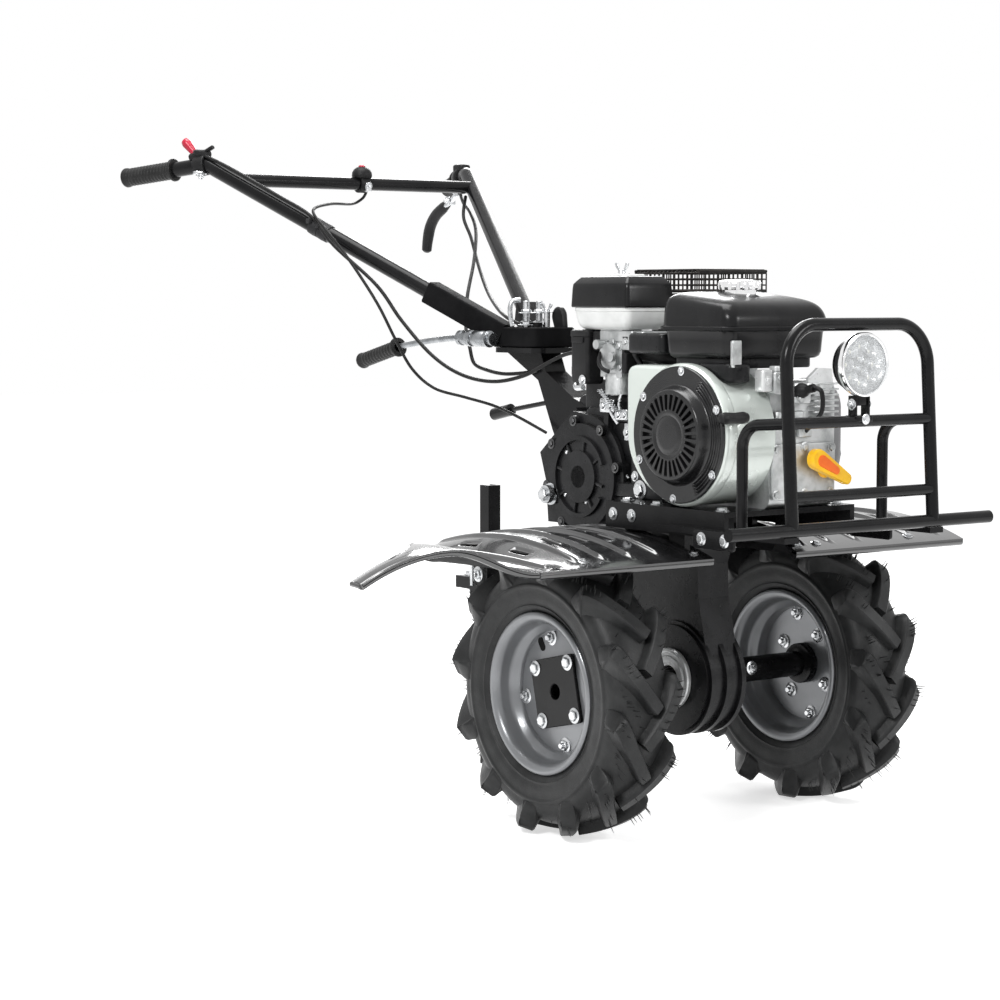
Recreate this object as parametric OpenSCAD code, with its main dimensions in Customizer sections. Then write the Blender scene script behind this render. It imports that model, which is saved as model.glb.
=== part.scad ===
// Two-wheeled power tiller with its petrol engine, belt drive, gear case, mudguards,
// front bumper with lamp, drag stake and swivelling handlebar.
// X points forward, Y to the machine's left and Z up, in millimetres.

/* [Wheels] */
// Outside diameter of a tyre over its lugs
tyre_d = 414; // [396:1:430]
// Height of the tread lugs
lug_h = 15; // [10:1:18]
// Lugs on each side of a tyre
lug_count = 12; // [10:1:14]
// Width of a tyre
tyre_w = 108; // [98:1:118]
// Diameter over the rim flanges
rim_d = 230; // [216:1:240]
// Width over the rim flanges
rim_w = 90; // [82:1:96]
// Thickness of the rim's steel
rim_t = 4; // [3:0.5:5]
// Distance between the centre planes of the wheels
track = 468; // [450:1:490]
// Diameter of the axle shaft
axle_d = 30; // [24:1:32]
// Wall of the hub sleeves
sleeve_wall = 4; // [3:0.5:6]
// Side of the square hub plates
hub_side = 100; // [90:1:110]
// Thickness of the hub plates
hub_t = 6; // [4:0.5:8]

/* [Gear case] */
// Radius of the drum around the axle
drum_r = 80; // [70:1:86]
// Half width of the upper gear housing
case_half_w = 60; // [52:1:66]
// Radius of the round cover on the gear housing
cover_r = 95; // [84:1:98]
// Thickness of the round cover
cover_t = 14; // [8:1:18]

/* [Engine] */
// Height of the engine bed's top
bed_z = 474; // [470:1:480]
// Half width of the engine bed
bed_half_w = 125; // [120:1:130]
// Thickness of the engine bed's steel
bed_t = 8; // [5:0.5:9]
// Distance of the crankshaft ahead of the axle
crank_x = 132; // [126:1:136]
// Height of the crankshaft over the bed
crank_h = 104; // [102:1:110]
// Radius of the fan housing
shroud_r = 100; // [95:1:101]
// Radius of the recoil starter cover
recoil_r = 93; // [86:1:94]
// Depth of the recoil starter cover
recoil_t = 24; // [16:1:30]
// Angle of the cylinder above the horizontal
cylinder_angle = 25; // [22:1:28]
// Length of the fuel tank along the machine
tank_l = 160; // [140:1:168]
// Width of the fuel tank across the machine
tank_w = 202; // [180:1:210]
// Height of the fuel tank
tank_h = 96; // [84:1:104]
// Length of the air cleaner
cleaner_l = 136; // [120:1:140]
// Width of the air cleaner
cleaner_w = 92; // [80:1:98]
// Height of the air cleaner's cover
cleaner_h = 46; // [36:1:50]

/* [Mudguards] */
// Distance of the mudguards' front edge ahead of the axle
guard_front = 150; // [144:1:158]
// Distance of the mudguards' rear edge behind the axle
guard_rear = 230; // [210:1:240]
// Clear height of the mudguards over the tyres
guard_gap = 17; // [12:1:26]
// Thickness of the mudguard sheet
guard_t = 3; // [2:0.5:4]
// Distance of the mudguards' inner edge from the middle
guard_in = 80; // [72:1:96]
// Distance of the right panel's outer edge from the middle
guard_out = 390; // [360:1:400]
// Distance of the left panel's outer edge from the middle
guard_out_left = 430; // [400:1:450]
// Reach of the right side flap beyond its panel
flap_w = 286; // [240:1:300]

/* [Bumper] */
// Distance of the bumper bar ahead of the axle
bar_x = 368; // [360:1:376]
// Height of the hoop's top
hoop_z = 744; // [738:1:764]
// Half distance between the hoop's uprights
hoop_half_w = 134; // [132:1:138]
// Diameter of the hoop's tube
hoop_d = 18; // [16:1:20]
// Backward lean of the hoop over its height
hoop_lean = 18; // [10:1:24]
// Diameter of the rails and braces
rail_d = 16; // [12:1:17]
// Half length of the lower bar
bar_half_l = 248; // [230:1:260]
// Diameter of the lower bar
bar_d = 18; // [16:1:20]
// Radius of the lamp
lamp_r = 44; // [38:1:46]

/* [Handlebar] */
// Distance of the handlebar's pivot behind the axle
pivot_x = 370; // [362:1:376]
// Height of the column's head plate
head_z = 692; // [688:1:700]
// Diameter of the handlebar tubes
arm_d = 26; // [22:1:28]
// Height of the bends below the grips
bend_z = 998; // [960:1:1030]
// Half width of the handlebar at the bends
bend_half_w = 273; // [250:1:290]
// Diameter of the cross tube
cross_d = 22; // [18:1:24]
// Diameter of the rubber grips
grip_d = 33; // [30:1:36]
// Length of the rubber grips
grip_l = 108; // [96:1:120]

/* [Drag stake] */
// Distance of the stake behind the axle
stake_x = 498; // [490:1:510]
// Side of the square stake
stake_side = 24; // [20:1:26]
// Length of the stake
stake_l = 464; // [440:1:470]
// Radius of the drawbar's pin hole
hitch_hole_r = 8; // [6:0.5:9]

/* [Hidden] */
$fn = 64;

fit = 0.3;
run_gap = 0.5;
weld = 0.05;
guard_crest = 434;
axle_z = guard_crest - guard_t - guard_gap - tyre_d / 2;
ground_z = axle_z - tyre_d / 2;
crank_z = bed_z + crank_h;
bead_r = rim_d / 2 - 10;
lug_lag = 24;
sleeve_r = axle_d / 2 + fit / 2 + sleeve_wall;
disc_h = 5;
hub_face = disc_h + rim_t + hub_t;
sleeve_end = 62;
bore_depth = 30;
drum_right = -30;
drum_left = 45;
seal_t = 8;
seal_r = 44;
case_right = -case_half_w;
cover_x = -165;
cover_z = 500;
plug_x = cover_x - (cover_r - 20) * cos(24);
plug_z = cover_z - (cover_r - 20) * sin(24);

block_right = -40;
block_left = 85;
head_right = -38;
head_left = 70;
block_back = crank_x - 84;
fin_pitch = 11;
block_l = 172;
block_h = 180;
block_front = block_back + block_l;
block_top = bed_z + block_h;
shroud_front = -116;
shroud_t = 3;
shroud_edge = 15;
recoil_face = shroud_front - recoil_t;
dome_r = recoil_r - 22;
louvres = 30;
belt_y = 88;
belt_w = 43;
belt_corner = 44;
pulley_r = 62;
tank_z = bed_z + 211;
tank_x = 58;
tank_slope = 16;
tank_y = -115;
cap_seat = [tank_x + tank_l * 0.42, tank_y + tank_w / 2, tank_z + tank_h + 1];
muffler_x = -126;
muffler_y = 24;
muffler_z = bed_z + 242;
muffler_l = 122;
muffler_w = 108;
muffler_h = 62;
port_x = -20;
port_y = 90;
port_z = bed_z + 184;
guard_rim = 14;
cage_h = 36;
mesh_pitch = 15;
mesh_bar = 3;
cleaner_x = -157;
cleaner_y = -102;
cleaner_z = bed_z + 283;
cleaner_base_h = 33;
guard_rise = 33;
guard_mid = (guard_front - guard_rear) / 2;
guard_chord = guard_front + guard_rear;
guard_r = guard_chord * guard_chord / (8 * guard_rise) + guard_rise / 2;
guard_cz = guard_crest - guard_r;
guard_edge_z = guard_cz + sqrt(guard_r * guard_r - pow(guard_chord / 2, 2));
rib_w = 14;
rib_h = 4;
slot_w = 16;
slot_l = 90;
lip_h = 19;
lip_t = 4;
flap_depth = 80;
flap_hump = 40;
flap_droop = 36;

bar_z = 460;
arm_top = bar_z - bar_d / 2 - fit / 2;
arm_t = 8;
mid_rail_z = 603;
low_rail_z = 504;
brace_back = 100;
lamp_z = 680;
lamp_depth = 32;
lens_t = 6;
lamp_x = hoop_at(lamp_z) - 22;

head_t = 8;
base_z = head_z + run_gap;
base_h = 32;
stud_h = 42;
arm_root = [-415, 30, 712];
arm_end_x = -1102;
arm_bend = [arm_end_x + 159, bend_half_w, bend_z];
arm_end_y = bend_half_w + 72;
arm_end_z = bend_z - 19;
socket_from = 0;
socket_to = 0.30;
cross_at = 0.905;
arm_r = arm_d / 2;
hitch_z = 300;
stake_wall = 4;

front_x = bar_x + bar_d / 2;
rear_x = arm_end_x - grip_end_dx();
right_y = -(guard_out + flap_w);
left_y = guard_out_left;
origin_x = (front_x + rear_x) / 2;
origin_y = (right_y + left_y) / 2;

throttle_route = [
    [-960, -286, 1020], [-895, -262, 993], [-800, -218, 941], [-740, -193, 907], [-690, -180, 858],
    [-608, -150, 792], [-558, -135, 735], [-487, -125, 680], [-420, -115, 650], [-355, -100, 640],
    [-295, -85, 650], [-245, -78, 670], [-205, -75, 684], [-168, -75, 690]
];
switch_route = [
    [-895, 20, 956], [-893, 10, 945], [-880, -20, 935], [-795, -120, 930], [-745, -185, 916],
    [-700, -189, 884], [-665, -180, 850], [-625, -170, 806], [-590, -157, 757], [-563, -141, 700],
    [-545, -122, 655], [-515, -100, 625], [-460, -80, 612], [-410, -60, 600], [-365, -48, 585],
    [-300, -36, 560]
];
clutch_route = [
    [-975, 279.4, 968], [-932, 258, 944], [-870, 228, 925], [-800, 190, 890], [-695, 110, 835],
    [-590, 20, 772], [-535, -22, 720], [-505, -36, 690], [-480, -45, 665], [-440, -48, 655],
    [-400, -44, 650], [-365, -32, 652], [-340, -23.4, 656]
];
swivel_route = [
    [-897, 237.5, 954.5], [-868, 212, 916], [-820, 194, 878], [-740, 152, 828], [-640, 98, 783],
    [-540, 45, 755], [-470, 12, 740], [-432, 7, 730], [-400, 4, 727.8]
];
gear_root = [-640, -84, 690];
gear_end = [-750, -86, 664];
cable_d = 6;
wire_d = 5;

function unit(v) = v / norm(v);
function mix(a, b, t) = a + (b - a) * t;
function side_of(p, s) = [p.x, p.y * s, p.z];
function grip_dir() = unit([arm_end_x - arm_bend.x, arm_end_y - arm_bend.y, arm_end_z - arm_bend.z]);
function grip_start() = norm([arm_end_x, arm_end_y, arm_end_z] - arm_bend) - grip_l;
function grip_end_dx() = grip_d / 2 * sqrt(1 - pow(grip_dir().x, 2));

// Distance of the hoop's plane ahead of the axle, at a height.
function hoop_at(z) = bar_x - hoop_lean * (z - bar_z) / (hoop_z - bar_z);

// A point of a smooth curve through the route, t counted in spans.
function curve_at(p, t) =
    let(n = len(p), i = min(floor(t), n - 2), u = t - i,
        a = p[max(i - 1, 0)], b = p[i], c = p[i + 1], d = p[min(i + 2, n - 1)])
    0.5 * (2 * b + (c - a) * u + (2 * a - 5 * b + 4 * c - d) * u * u
        + (3 * b - a - 3 * c + d) * u * u * u);

// Puts the machine's middle, at ground level, on the origin.
module machine() translate([-origin_x, -origin_y, -ground_z]) children();

// An outline in X and Z, made solid from y0 to y1.
module side_solid(y0, y1) translate([0, y1, 0]) rotate([90, 0, 0]) linear_extrude(y1 - y0) children();

// A cylinder along Y.
module bar_y(x, z, r, y0, y1) translate([x, y1, z]) rotate([90, 0, 0]) cylinder(r = r, h = y1 - y0);

// A profile of [radius, offset] turned about the axle, with offsets pointing outwards on each side.
module turned(side) translate([0, side * track / 2, axle_z]) mirror([0, side < 0 ? 1 : 0, 0])
    rotate([-90, 0, 0]) children();

module rod(a, b, r) {
    d = b - a;
    translate(a) rotate([0, acos(d.z / norm(d)), atan2(d.y, d.x)]) cylinder(r = r, h = norm(d));
}

// A round tube through the corner q, bent on a radius.
module elbow(p, q, s, bend_r, r) {
    u = unit(p - q);
    v = unit(s - q);
    half = acos(u * v) / 2;
    centre = q + unit(u + v) * bend_r / sin(half);
    from = q + u * bend_r / tan(half);
    ax = unit(from - centre);
    az = cross(ax, -u);
    multmatrix([[ax.x, -u.x, az.x, centre.x], [ax.y, -u.y, az.y, centre.y], [ax.z, -u.z, az.z, centre.z]])
        rotate_extrude(angle = 180 - 2 * half) translate([bend_r, 0]) circle(r);
}

function corner_cut(p, q, s, bend_r) = bend_r / tan(acos(unit(p - q) * unit(s - q)) / 2);

// A bent tube along a list of corners, its bends a hair thicker so that they join the straights.
module bent_tube(p, bend_r, r) {
    n = len(p);
    cuts = [for (i = [0 : n - 1]) i == 0 || i == n - 1 ? 0 : corner_cut(p[i - 1], p[i], p[i + 1], bend_r)];
    for (i = [0 : n - 2]) {
        d = unit(p[i + 1] - p[i]);
        rod(p[i] + d * (cuts[i] - (i > 0 ? 1 : 0)), p[i + 1] - d * (cuts[i + 1] - (i < n - 2 ? 1 : 0)), r);
    }
    for (i = [1 : n - 2]) elbow(p[i - 1], p[i], p[i + 1], bend_r, r + weld);
}

// A flexible cable along a route, as one closed tube.
module cable(route, d, per_span = 2, sides = 8) {
    n = (len(route) - 1) * per_span;
    pts = [for (k = [0 : n]) curve_at(route, k / per_span)];
    rings = [for (k = [0 : n])
        let(t = unit(pts[min(k + 1, n)] - pts[max(k - 1, 0)]),
            e = unit(cross(t, [0.2, 1, 0.1])), f = cross(t, e))
        for (j = [0 : sides - 1]) pts[k] + d / 2 * (e * cos(360 * j / sides) + f * sin(360 * j / sides))];
    walls = [for (k = [0 : n - 1], j = [0 : sides - 1])
        [k * sides + j, k * sides + (j + 1) % sides, (k + 1) * sides + (j + 1) % sides, (k + 1) * sides + j]];
    first = [for (j = [0 : sides - 1]) sides - 1 - j];
    last = [for (j = [0 : sides - 1]) n * sides + j];
    polyhedron(rings, concat(walls, [first, last]));
}

// An outline around two round ends, with straight sides.
module belt_outline(a, ra, b, rb) {
    d = norm(b - a);
    turn = atan2(b.y - a.y, b.x - a.x);
    lean = acos((ra - rb) / d);
    translate(a) circle(ra);
    translate(b) circle(rb);
    polygon([for (s = [[a, ra, 1], [b, rb, 1], [b, rb, -1], [a, ra, -1]])
        s[0] + s[1] * [cos(turn + s[2] * lean), sin(turn + s[2] * lean)]]);
}

// A rectangle with round corners.
module round_rect(w, h, r) {
    translate([r, 0]) square([w - 2 * r, h]);
    translate([0, r]) square([w, h - 2 * r]);
    for (x = [r, w - r], y = [r, h - r]) translate([x, y]) circle(r);
}

// A bar from the tread's middle, slanting back to the shoulder and down the wall, as rings of four points.
module tread_lug(half) {
    top = tyre_d / 2;
    root = top - lug_h - 6;
    stations = [[top, -5, root, -5, 0, 9], [top - 0.5, half * 0.3, root, half * 0.3, 0.32, 10],
        [top - 3, half * 0.7, root - 2, half * 0.66, 0.74, 11], [top - 8, half, root - 9, half - 18, 1, 12],
        [top - 42, half - 1, top - 46, half - 14, 1.08, 10]];
    rings = [for (s = stations) for (c = [[0, -1, 0], [0, 1, 0], [2, 1, 3], [2, -1, 3]])
        let(r = s[c[0]], turn = -lug_lag * s[4] + c[1] * (s[5] + c[2]) / r * 180 / PI)
        [r * cos(turn), r * sin(turn), s[c[0] + 1]]];
    n = len(stations);
    walls = [for (k = [0 : n - 2], j = [0 : 3])
        [4 * k + j, 4 * k + 4 + j, 4 * k + 4 + (j + 1) % 4, 4 * k + (j + 1) % 4]];
    polyhedron(rings, concat(walls, [[0, 1, 2, 3], [for (j = [3 : -1 : 0]) 4 * n - 4 + j]]));
}

module tyre(side) {
    half = tyre_w / 2;
    crown = tyre_d / 2 - lug_h;
    seat = rim_w / 2 - rim_t - fit;
    wall = [[bead_r + fit, seat], [rim_d / 2 + 1.5, seat], [rim_d / 2 + 8, half - 9],
        [rim_d / 2 + 30, half - 3], [crown - 24, half - 4], [crown - 8, half - 14],
        [crown - 1.5, half * 0.45], [crown, 0]];
    turned(side) {
        rotate_extrude($fn = 44) polygon(concat(wall,
            [for (i = [len(wall) - 2 : -1 : 0]) [wall[i].x, -wall[i].y]]));
        for (i = [0 : lug_count - 1]) {
            rotate(360 * i / lug_count) tread_lug(half);
            rotate(360 * (i + 0.5) / lug_count) mirror([0, 0, 1]) tread_lug(half);
        }
    }
}

module rim(side) {
    h = rim_w / 2;
    drop_r = bead_r - 14;
    edge = [[rim_d / 2, h], [rim_d / 2, h - rim_t], [bead_r, h - rim_t], [bead_r - 1, h - 22],
        [drop_r, h - 30]];
    back = [[drop_r - rim_t, h - 30 + rim_t / 2], [bead_r - 1 - rim_t, h - 20], [bead_r - rim_t, h]];
    turned(side) {
        rotate_extrude() polygon(concat(edge,
            [for (i = [len(edge) - 1 : -1 : 0]) [edge[i].x, -edge[i].y]],
            [for (i = [len(back) - 1 : -1 : 0]) [back[i].x, -back[i].y]], back));
        rotate_extrude() translate([sleeve_r + fit, disc_h])
            square([drop_r - rim_t / 2 - sleeve_r - fit, rim_t]);
    }
}

module hub(side) {
    reach = track / 2 - sleeve_end;
    turned(side) difference() {
        union() {
            translate([0, 0, disc_h + rim_t]) rotate(15) translate([-hub_side / 2, -hub_side / 2, 0])
                linear_extrude(hub_t) round_rect(hub_side, hub_side, 6);
            translate([0, 0, -reach]) cylinder(r = sleeve_r, h = reach + hub_face);
            translate([0, 0, disc_h - 8]) cylinder(r = sleeve_r + 12, h = 8);
        }
        translate([0, 0, -reach - 1]) cylinder(r = axle_d / 2 + fit / 2, h = reach + hub_face + 2);
    }
}

module tyre_right() color("#1d1d1c") machine() tyre(-1);
module tyre_left() color("#1d1d1c") machine() tyre(1);
module rim_right() color("#8d9092") machine() rim(-1);
module rim_left() color("#8d9092") machine() rim(1);
module hub_right() color("#18181a") machine() hub(-1);
module hub_left() color("#18181a") machine() hub(1);

module axle() color("#3a3b3d") machine() {
    reach = track / 2 + hub_face - bore_depth;
    bar_y(0, axle_z, axle_d / 2, -reach, reach);
}

module case_leg() side_solid(drum_right + 8, drum_left - 8)
    polygon([[-75, axle_z - 20], [-128, 330], [-190, 424], [-60, 466], [60, bed_z - bed_t], [62, 420],
        [48, 380], [50, 330], [74, axle_z + 20]]);

module gear_case() color("#1b1c1e") machine() difference() {
    union() {
        bar_y(0, axle_z, drum_r, drum_right, drum_left);
        for (y = [drum_right + 8, (drum_right + drum_left) / 2, drum_left - 8])
            bar_y(0, axle_z, drum_r + 6, y - 4, y + 4);
        case_leg();
        side_solid(case_right, case_half_w)
            polygon([[-200, 424], [-263, 424], [-269, 488], [-284, 531], [-202, 598], [-120, 590], [-72, 520],
                [-72, 430]]);
        side_solid(-case_half_w, case_half_w) polygon([[-76, 430], [-76, 452], [-20, bed_z - bed_t],
            [60, bed_z - bed_t], [60, 440]]);
    }
    bar_y(0, axle_z, axle_d / 2 + run_gap, drum_right - 20, drum_left + 20);
}

module case_cover() color("#202124") machine() {
    bar_y(cover_x, cover_z, cover_r - 14, case_right - cover_t, case_right);
    bar_y(cover_x, cover_z, cover_r, case_right - cover_t / 2, case_right);
    bar_y(cover_x, cover_z, cover_r * 0.42, case_right - cover_t - 5, case_right);
    ring = cover_r - 9;
    for (a = [12 : 45 : 360])
        bar_y(cover_x + ring * cos(a), cover_z + ring * sin(a), 8, case_right - cover_t, case_right);
}

module case_plug() color("#c9cccd") machine() difference() {
    bar_y(plug_x, plug_z, 14, case_right - cover_t - 16, case_right - cover_t);
    translate([plug_x - 20, case_right - cover_t - 17, plug_z - 2]) cube([40, 5, 4]);
}

module axle_seal() color("#b6b8b8") machine() difference() {
    bar_y(0, axle_z, seal_r, drum_right - seal_t, drum_right);
    bar_y(0, axle_z, axle_d / 2 + run_gap, drum_right - seal_t - 1, drum_right + 1);
}

module engine_bed() color("#1a1b1c") machine() {
    translate([-40, -bed_half_w, bed_z - bed_t]) cube([262, 2 * bed_half_w, bed_t]);
    for (s = [-1, 1]) {
        translate([-40, s * bed_half_w - (s > 0 ? bed_t : 0), 436]) cube([262, bed_t, bed_z - 436]);
        translate([100, s > 0 ? bed_half_w : -bed_half_w - 26, arm_top - arm_t])
            cube([bar_x + 4 - 100, 26, arm_t]);
    }
}

module engine_block() color("#a9adaa") machine() {
    side_solid(block_right, block_left) translate([block_back, bed_z]) round_rect(block_l, block_h, 14);
    bar_y(crank_x, crank_z, 62, block_left, belt_y - fit);
    translate([crank_x, 0, crank_z]) rotate([0, cylinder_angle, 0]) {
        translate([-150, -24, -40]) cube([90, 80, 88]);
        for (x = [-146 : fin_pitch : -90]) translate([x, -34, -50]) cube([4, 100, 108]);
        translate([-192, head_right, -54]) cube([42, head_left - head_right, 116]);
        translate([-206, head_right + 16, -40]) cube([14, head_left - head_right - 32, 88]);
    }
}

// The fan housing's square end and its whole outline, drawn in by the thickness t.
module shroud_end(t) translate([crank_x - 138 + t, crank_z - 30 + t])
    round_rect(110 - 2 * t, 127 - 2 * t, 8 - t);
module shroud_outline(t = 0) {
    translate([crank_x, crank_z]) circle(shroud_r - t);
    shroud_end(t);
    translate([crank_x - 100, crank_z]) square([100, 97 - t]);
}

module fan_shroud() color("#c6cbc6") machine() difference() {
    union() {
        side_solid(shroud_front + shroud_edge, block_right) shroud_outline();
        side_solid(shroud_front + shroud_edge / 3, shroud_front + shroud_edge + 1) shroud_end(shroud_t / 2);
        translate([crank_x, shroud_front, crank_z]) rotate([-90, 0, 0]) rotate_extrude() polygon([[0, 0],
            [shroud_r - shroud_edge, 0], [shroud_r - shroud_edge * 0.45, shroud_edge * 0.16],
            [shroud_r - shroud_edge * 0.12, shroud_edge * 0.5], [shroud_r - fit, shroud_edge + 1],
            [0, shroud_edge + 1]]);
    }
    side_solid(shroud_front + shroud_edge - 2, block_right + 1) shroud_outline(shroud_t);
}

module recoil_starter() color("#141416") machine() difference() {
    union() {
        bar_y(crank_x, crank_z, recoil_r, recoil_face + 8, shroud_front);
        bar_y(crank_x, crank_z, dome_r, recoil_face, recoil_face + 8);
    }
    translate([crank_x, recoil_face, crank_z]) rotate([90, 0, 0]) {
        for (i = [0 : louvres - 1]) rotate(360 * i / louvres)
            translate([dome_r - 34, -2, -6]) cube([26, 4, 12]);
        for (r = [dome_r + 4 : 6 : recoil_r - 5]) translate([0, 0, -13]) rotate(-55)
            rotate_extrude(angle = 110) translate([r, 0]) square([3, 10]);
    }
}

module starter_grip() color("#161617") machine() {
    y = shroud_front - 10;
    z = crank_z + 28;
    difference() {
        rod([crank_x + recoil_r - 20, y, z], [crank_x + recoil_r + 18, y, z], 6);
        bar_y(crank_x, crank_z, recoil_r, recoil_face, shroud_front + 20);
    }
    rod([crank_x + recoil_r + 16, y - 26, z], [crank_x + recoil_r + 16, y + 26, z], 8);
}

module fuel_tank() color("#17181a") machine() translate([tank_x, tank_y, tank_z]) {
    seam = tank_h * 0.42;
    for (x = [58, tank_l - 26], y = [105, 175]) translate([x, y, block_top - tank_z])
        cylinder(r = 9, h = tank_z - block_top);
    translate([8, 8, 0]) linear_extrude(seam) round_rect(tank_l - 16, tank_w - 16, 22);
    translate([0, 0, seam]) linear_extrude(6) round_rect(tank_l, tank_w, 26);
    translate([tank_l * 0.42, tank_w / 2, seam]) cylinder(r = 33, h = tank_h + 1 - seam);
    hull() {
        translate([3, 3, seam + 6]) linear_extrude(1) round_rect(tank_l - 6, tank_w - 6, 24, $fn = 32);
        for (y = [38, tank_w - 38]) {
            translate([34, y, tank_h - 8]) cylinder(r1 = 26, r2 = 20, h = 8, $fn = 32);
            translate([tank_l - 40, y, tank_h - tank_slope - 8]) cylinder(r1 = 26, r2 = 20, h = 8, $fn = 32);
            translate([8, y, tank_h * 0.72]) sphere(6, $fn = 16);
        }
    }
}

module fuel_cap() color("#c4c6c6") machine() translate(cap_seat) difference() {
    cylinder(r = 31, h = 13);
    for (i = [0 : 11]) rotate(30 * i) translate([32, 0, -1]) cylinder(r = 4, h = 15);
}

module air_cleaner_base() color("#d9dad6") machine()
    translate([cleaner_x + 2, cleaner_y + 2, cleaner_z - cleaner_base_h])
        linear_extrude(cleaner_base_h) round_rect(cleaner_l - 4, cleaner_w - 4, 10);

module air_cleaner_cover() color("#151517") machine() translate([cleaner_x, cleaner_y, cleaner_z]) hull() {
    linear_extrude(cleaner_h - 9) round_rect(cleaner_l, cleaner_w, 10, $fn = 32);
    translate([9, 9, 0]) linear_extrude(cleaner_h) round_rect(cleaner_l - 18, cleaner_w - 18, 8, $fn = 32);
}

module carburettor() color("#9da09f") machine() {
    top = cleaner_z - cleaner_base_h;
    translate([-104, -84, top - 70]) cube([50, 38, 70]);
    translate([-60, -46, 636]) cube([46, 46 + head_right, 44]);
    translate([-80, -66, top - 96]) cylinder(r = 22, h = 30);
    bar_y(-78, top - 40, 20, -92, -60);
    bar_y(-96, top - 22, 7, -100, -60);
}

module choke_box() color("#232427") machine()
    translate([cleaner_x - 8, cleaner_y + 8, cleaner_z - cleaner_base_h - 82]) cube([42, 34, 82]);

module muffler() color("#2b2b2c") machine() {
    translate([muffler_x, muffler_y, muffler_z]) linear_extrude(muffler_h)
        round_rect(muffler_l, muffler_w, 18);
    bar_y(port_x, port_z, 14, head_left, port_y + 14);
    translate([port_x, port_y, port_z]) cylinder(r = 13, h = muffler_z + 2 - port_z);
}

// A flat grille of square holes.
module grille(l, w) difference() {
    square([l, w]);
    nx = floor(l / mesh_pitch);
    ny = floor(w / mesh_pitch);
    for (i = [0 : nx - 1], j = [0 : ny - 1]) translate([l * (i + 0.5) / nx, w * (j + 0.5) / ny])
        square(mesh_pitch - mesh_bar, center = true);
}

module muffler_guard() color("#111112") machine()
    translate([muffler_x - guard_rim, muffler_y - guard_rim, muffler_z + muffler_h]) {
        l = muffler_l + 2 * guard_rim;
        w = muffler_w + 2 * guard_rim;
        linear_extrude(mesh_bar) difference() {
            square([l, w]);
            translate([guard_rim + 3, guard_rim + 3]) square([muffler_l - 6, muffler_w - 6]);
        }
        translate([0, 0, cage_h - mesh_bar]) linear_extrude(mesh_bar) grille(l, w);
        for (y = [mesh_bar, w]) translate([0, y, 0]) rotate([90, 0, 0])
            linear_extrude(mesh_bar) grille(l, cage_h);
        for (x = [0, l - mesh_bar]) translate([x, 0, 0]) rotate([90, 0, 90])
            linear_extrude(mesh_bar) grille(w, cage_h);
    }

module oil_dipstick() color("#f2a516") machine() {
    rod([block_front, 62, crank_z - 50], [block_front + 20, 62, crank_z - 50], 10);
    rod([block_front + 20, 32, crank_z - 34], [block_front + 20, 92, crank_z - 66], 10);
}

// The outline around three round ends.
module guard_outline(a, b, c, r, rc) {
    belt_outline(a, r, b, r);
    belt_outline(a, r, c, rc);
    belt_outline(b, r, c, rc);
    polygon([a, b, c]);
}

module belt_guard() color("#77797a") machine() {
    front = crank_x + pulley_r - belt_corner;
    side_solid(belt_y, belt_y + belt_w) guard_outline([front, crank_z - 33], [front, crank_z + 33],
        [cover_x, cover_z + 26], belt_corner, pulley_r);
    for (x = [cover_x - 40, cover_x + 40]) bar_y(x, cover_z + 26, 8, case_half_w, belt_y);
}

module column_box() side_solid(-20, 20)
    polygon([[-424, head_z - head_t], [-342, 641], [-304, 563], [-284, 531], [-202, 598],
        [-252, 616], [-322, 655], [-335, head_z - head_t]]);

module handle_column() color("#1a1b1c") machine() {
    column_box();
    side_solid(-50, 50) polygon([[-284, 531], [-202, 598], [-206, 603], [-288, 536]]);
}

module column_head() color("#1d1e20") machine() {
    translate([-pivot_x - 62, -46, head_z - head_t]) linear_extrude(head_t) round_rect(122, 92, 18);
    translate([-pivot_x, 0, head_z]) cylinder(r = 8, h = base_h + 8);
}

module shift_rod() color("#2a2b2c") machine() {
    difference() {
        rod([-310, 0, 610], [-440, 0, 590], 4);
        column_box();
    }
    rod([-440, 0, 590], [-486, 0, 581], 10);
}

// The mudguard's arched section, between two heights over its inner face.
module guard_arch(low, high, x0, x1) intersection() {
    difference() {
        translate([guard_mid, guard_cz]) circle(guard_r + high, $fn = 256);
        translate([guard_mid, guard_cz]) circle(guard_r + low, $fn = 256);
    }
    translate([x0, axle_z]) square([x1 - x0, guard_r]);
}

module guard_panel(y0, y1) {
    width = y1 - y0;
    difference() {
        union() {
            side_solid(y0, y1) guard_arch(-guard_t, 0, -guard_rear, guard_front);
            for (t = [0.2, 0.5, 0.8]) side_solid(y0 + width * t - rib_w / 2, y0 + width * t + rib_w / 2)
                guard_arch(-1, rib_h, -guard_rear + 30, guard_front - 24);
            translate([guard_front - lip_t, y0, guard_edge_z - lip_h])
                cube([lip_t, width, lip_h - guard_t / 2]);
        }
        for (t = [0.35, 0.65]) translate([-20, y0 + width * t - slot_w / 2, axle_z])
            cube([slot_l, slot_w, guard_r]);
    }
}

module mudguard_right() color("#202122") machine() guard_panel(-guard_out, -guard_in);
module mudguard_left() color("#202122") machine() guard_panel(guard_in, guard_out_left);

// Height of the flap over its root, at a share of its reach.
function flap_rise(t) = t < 0.52 ? flap_hump * (1 - cos(180 * t / 0.52)) / 2
    : flap_hump - flap_droop * pow((t - 0.52) / 0.48, 2);

module flap_strip(t) {
    steps = 24;
    line = [for (i = [0 : steps]) [-guard_out - flap_w * i / steps, flap_rise(i / steps)]];
    polygon(concat(line, [for (i = [steps : -1 : 0]) line[i] - [0, t]]));
}

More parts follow.
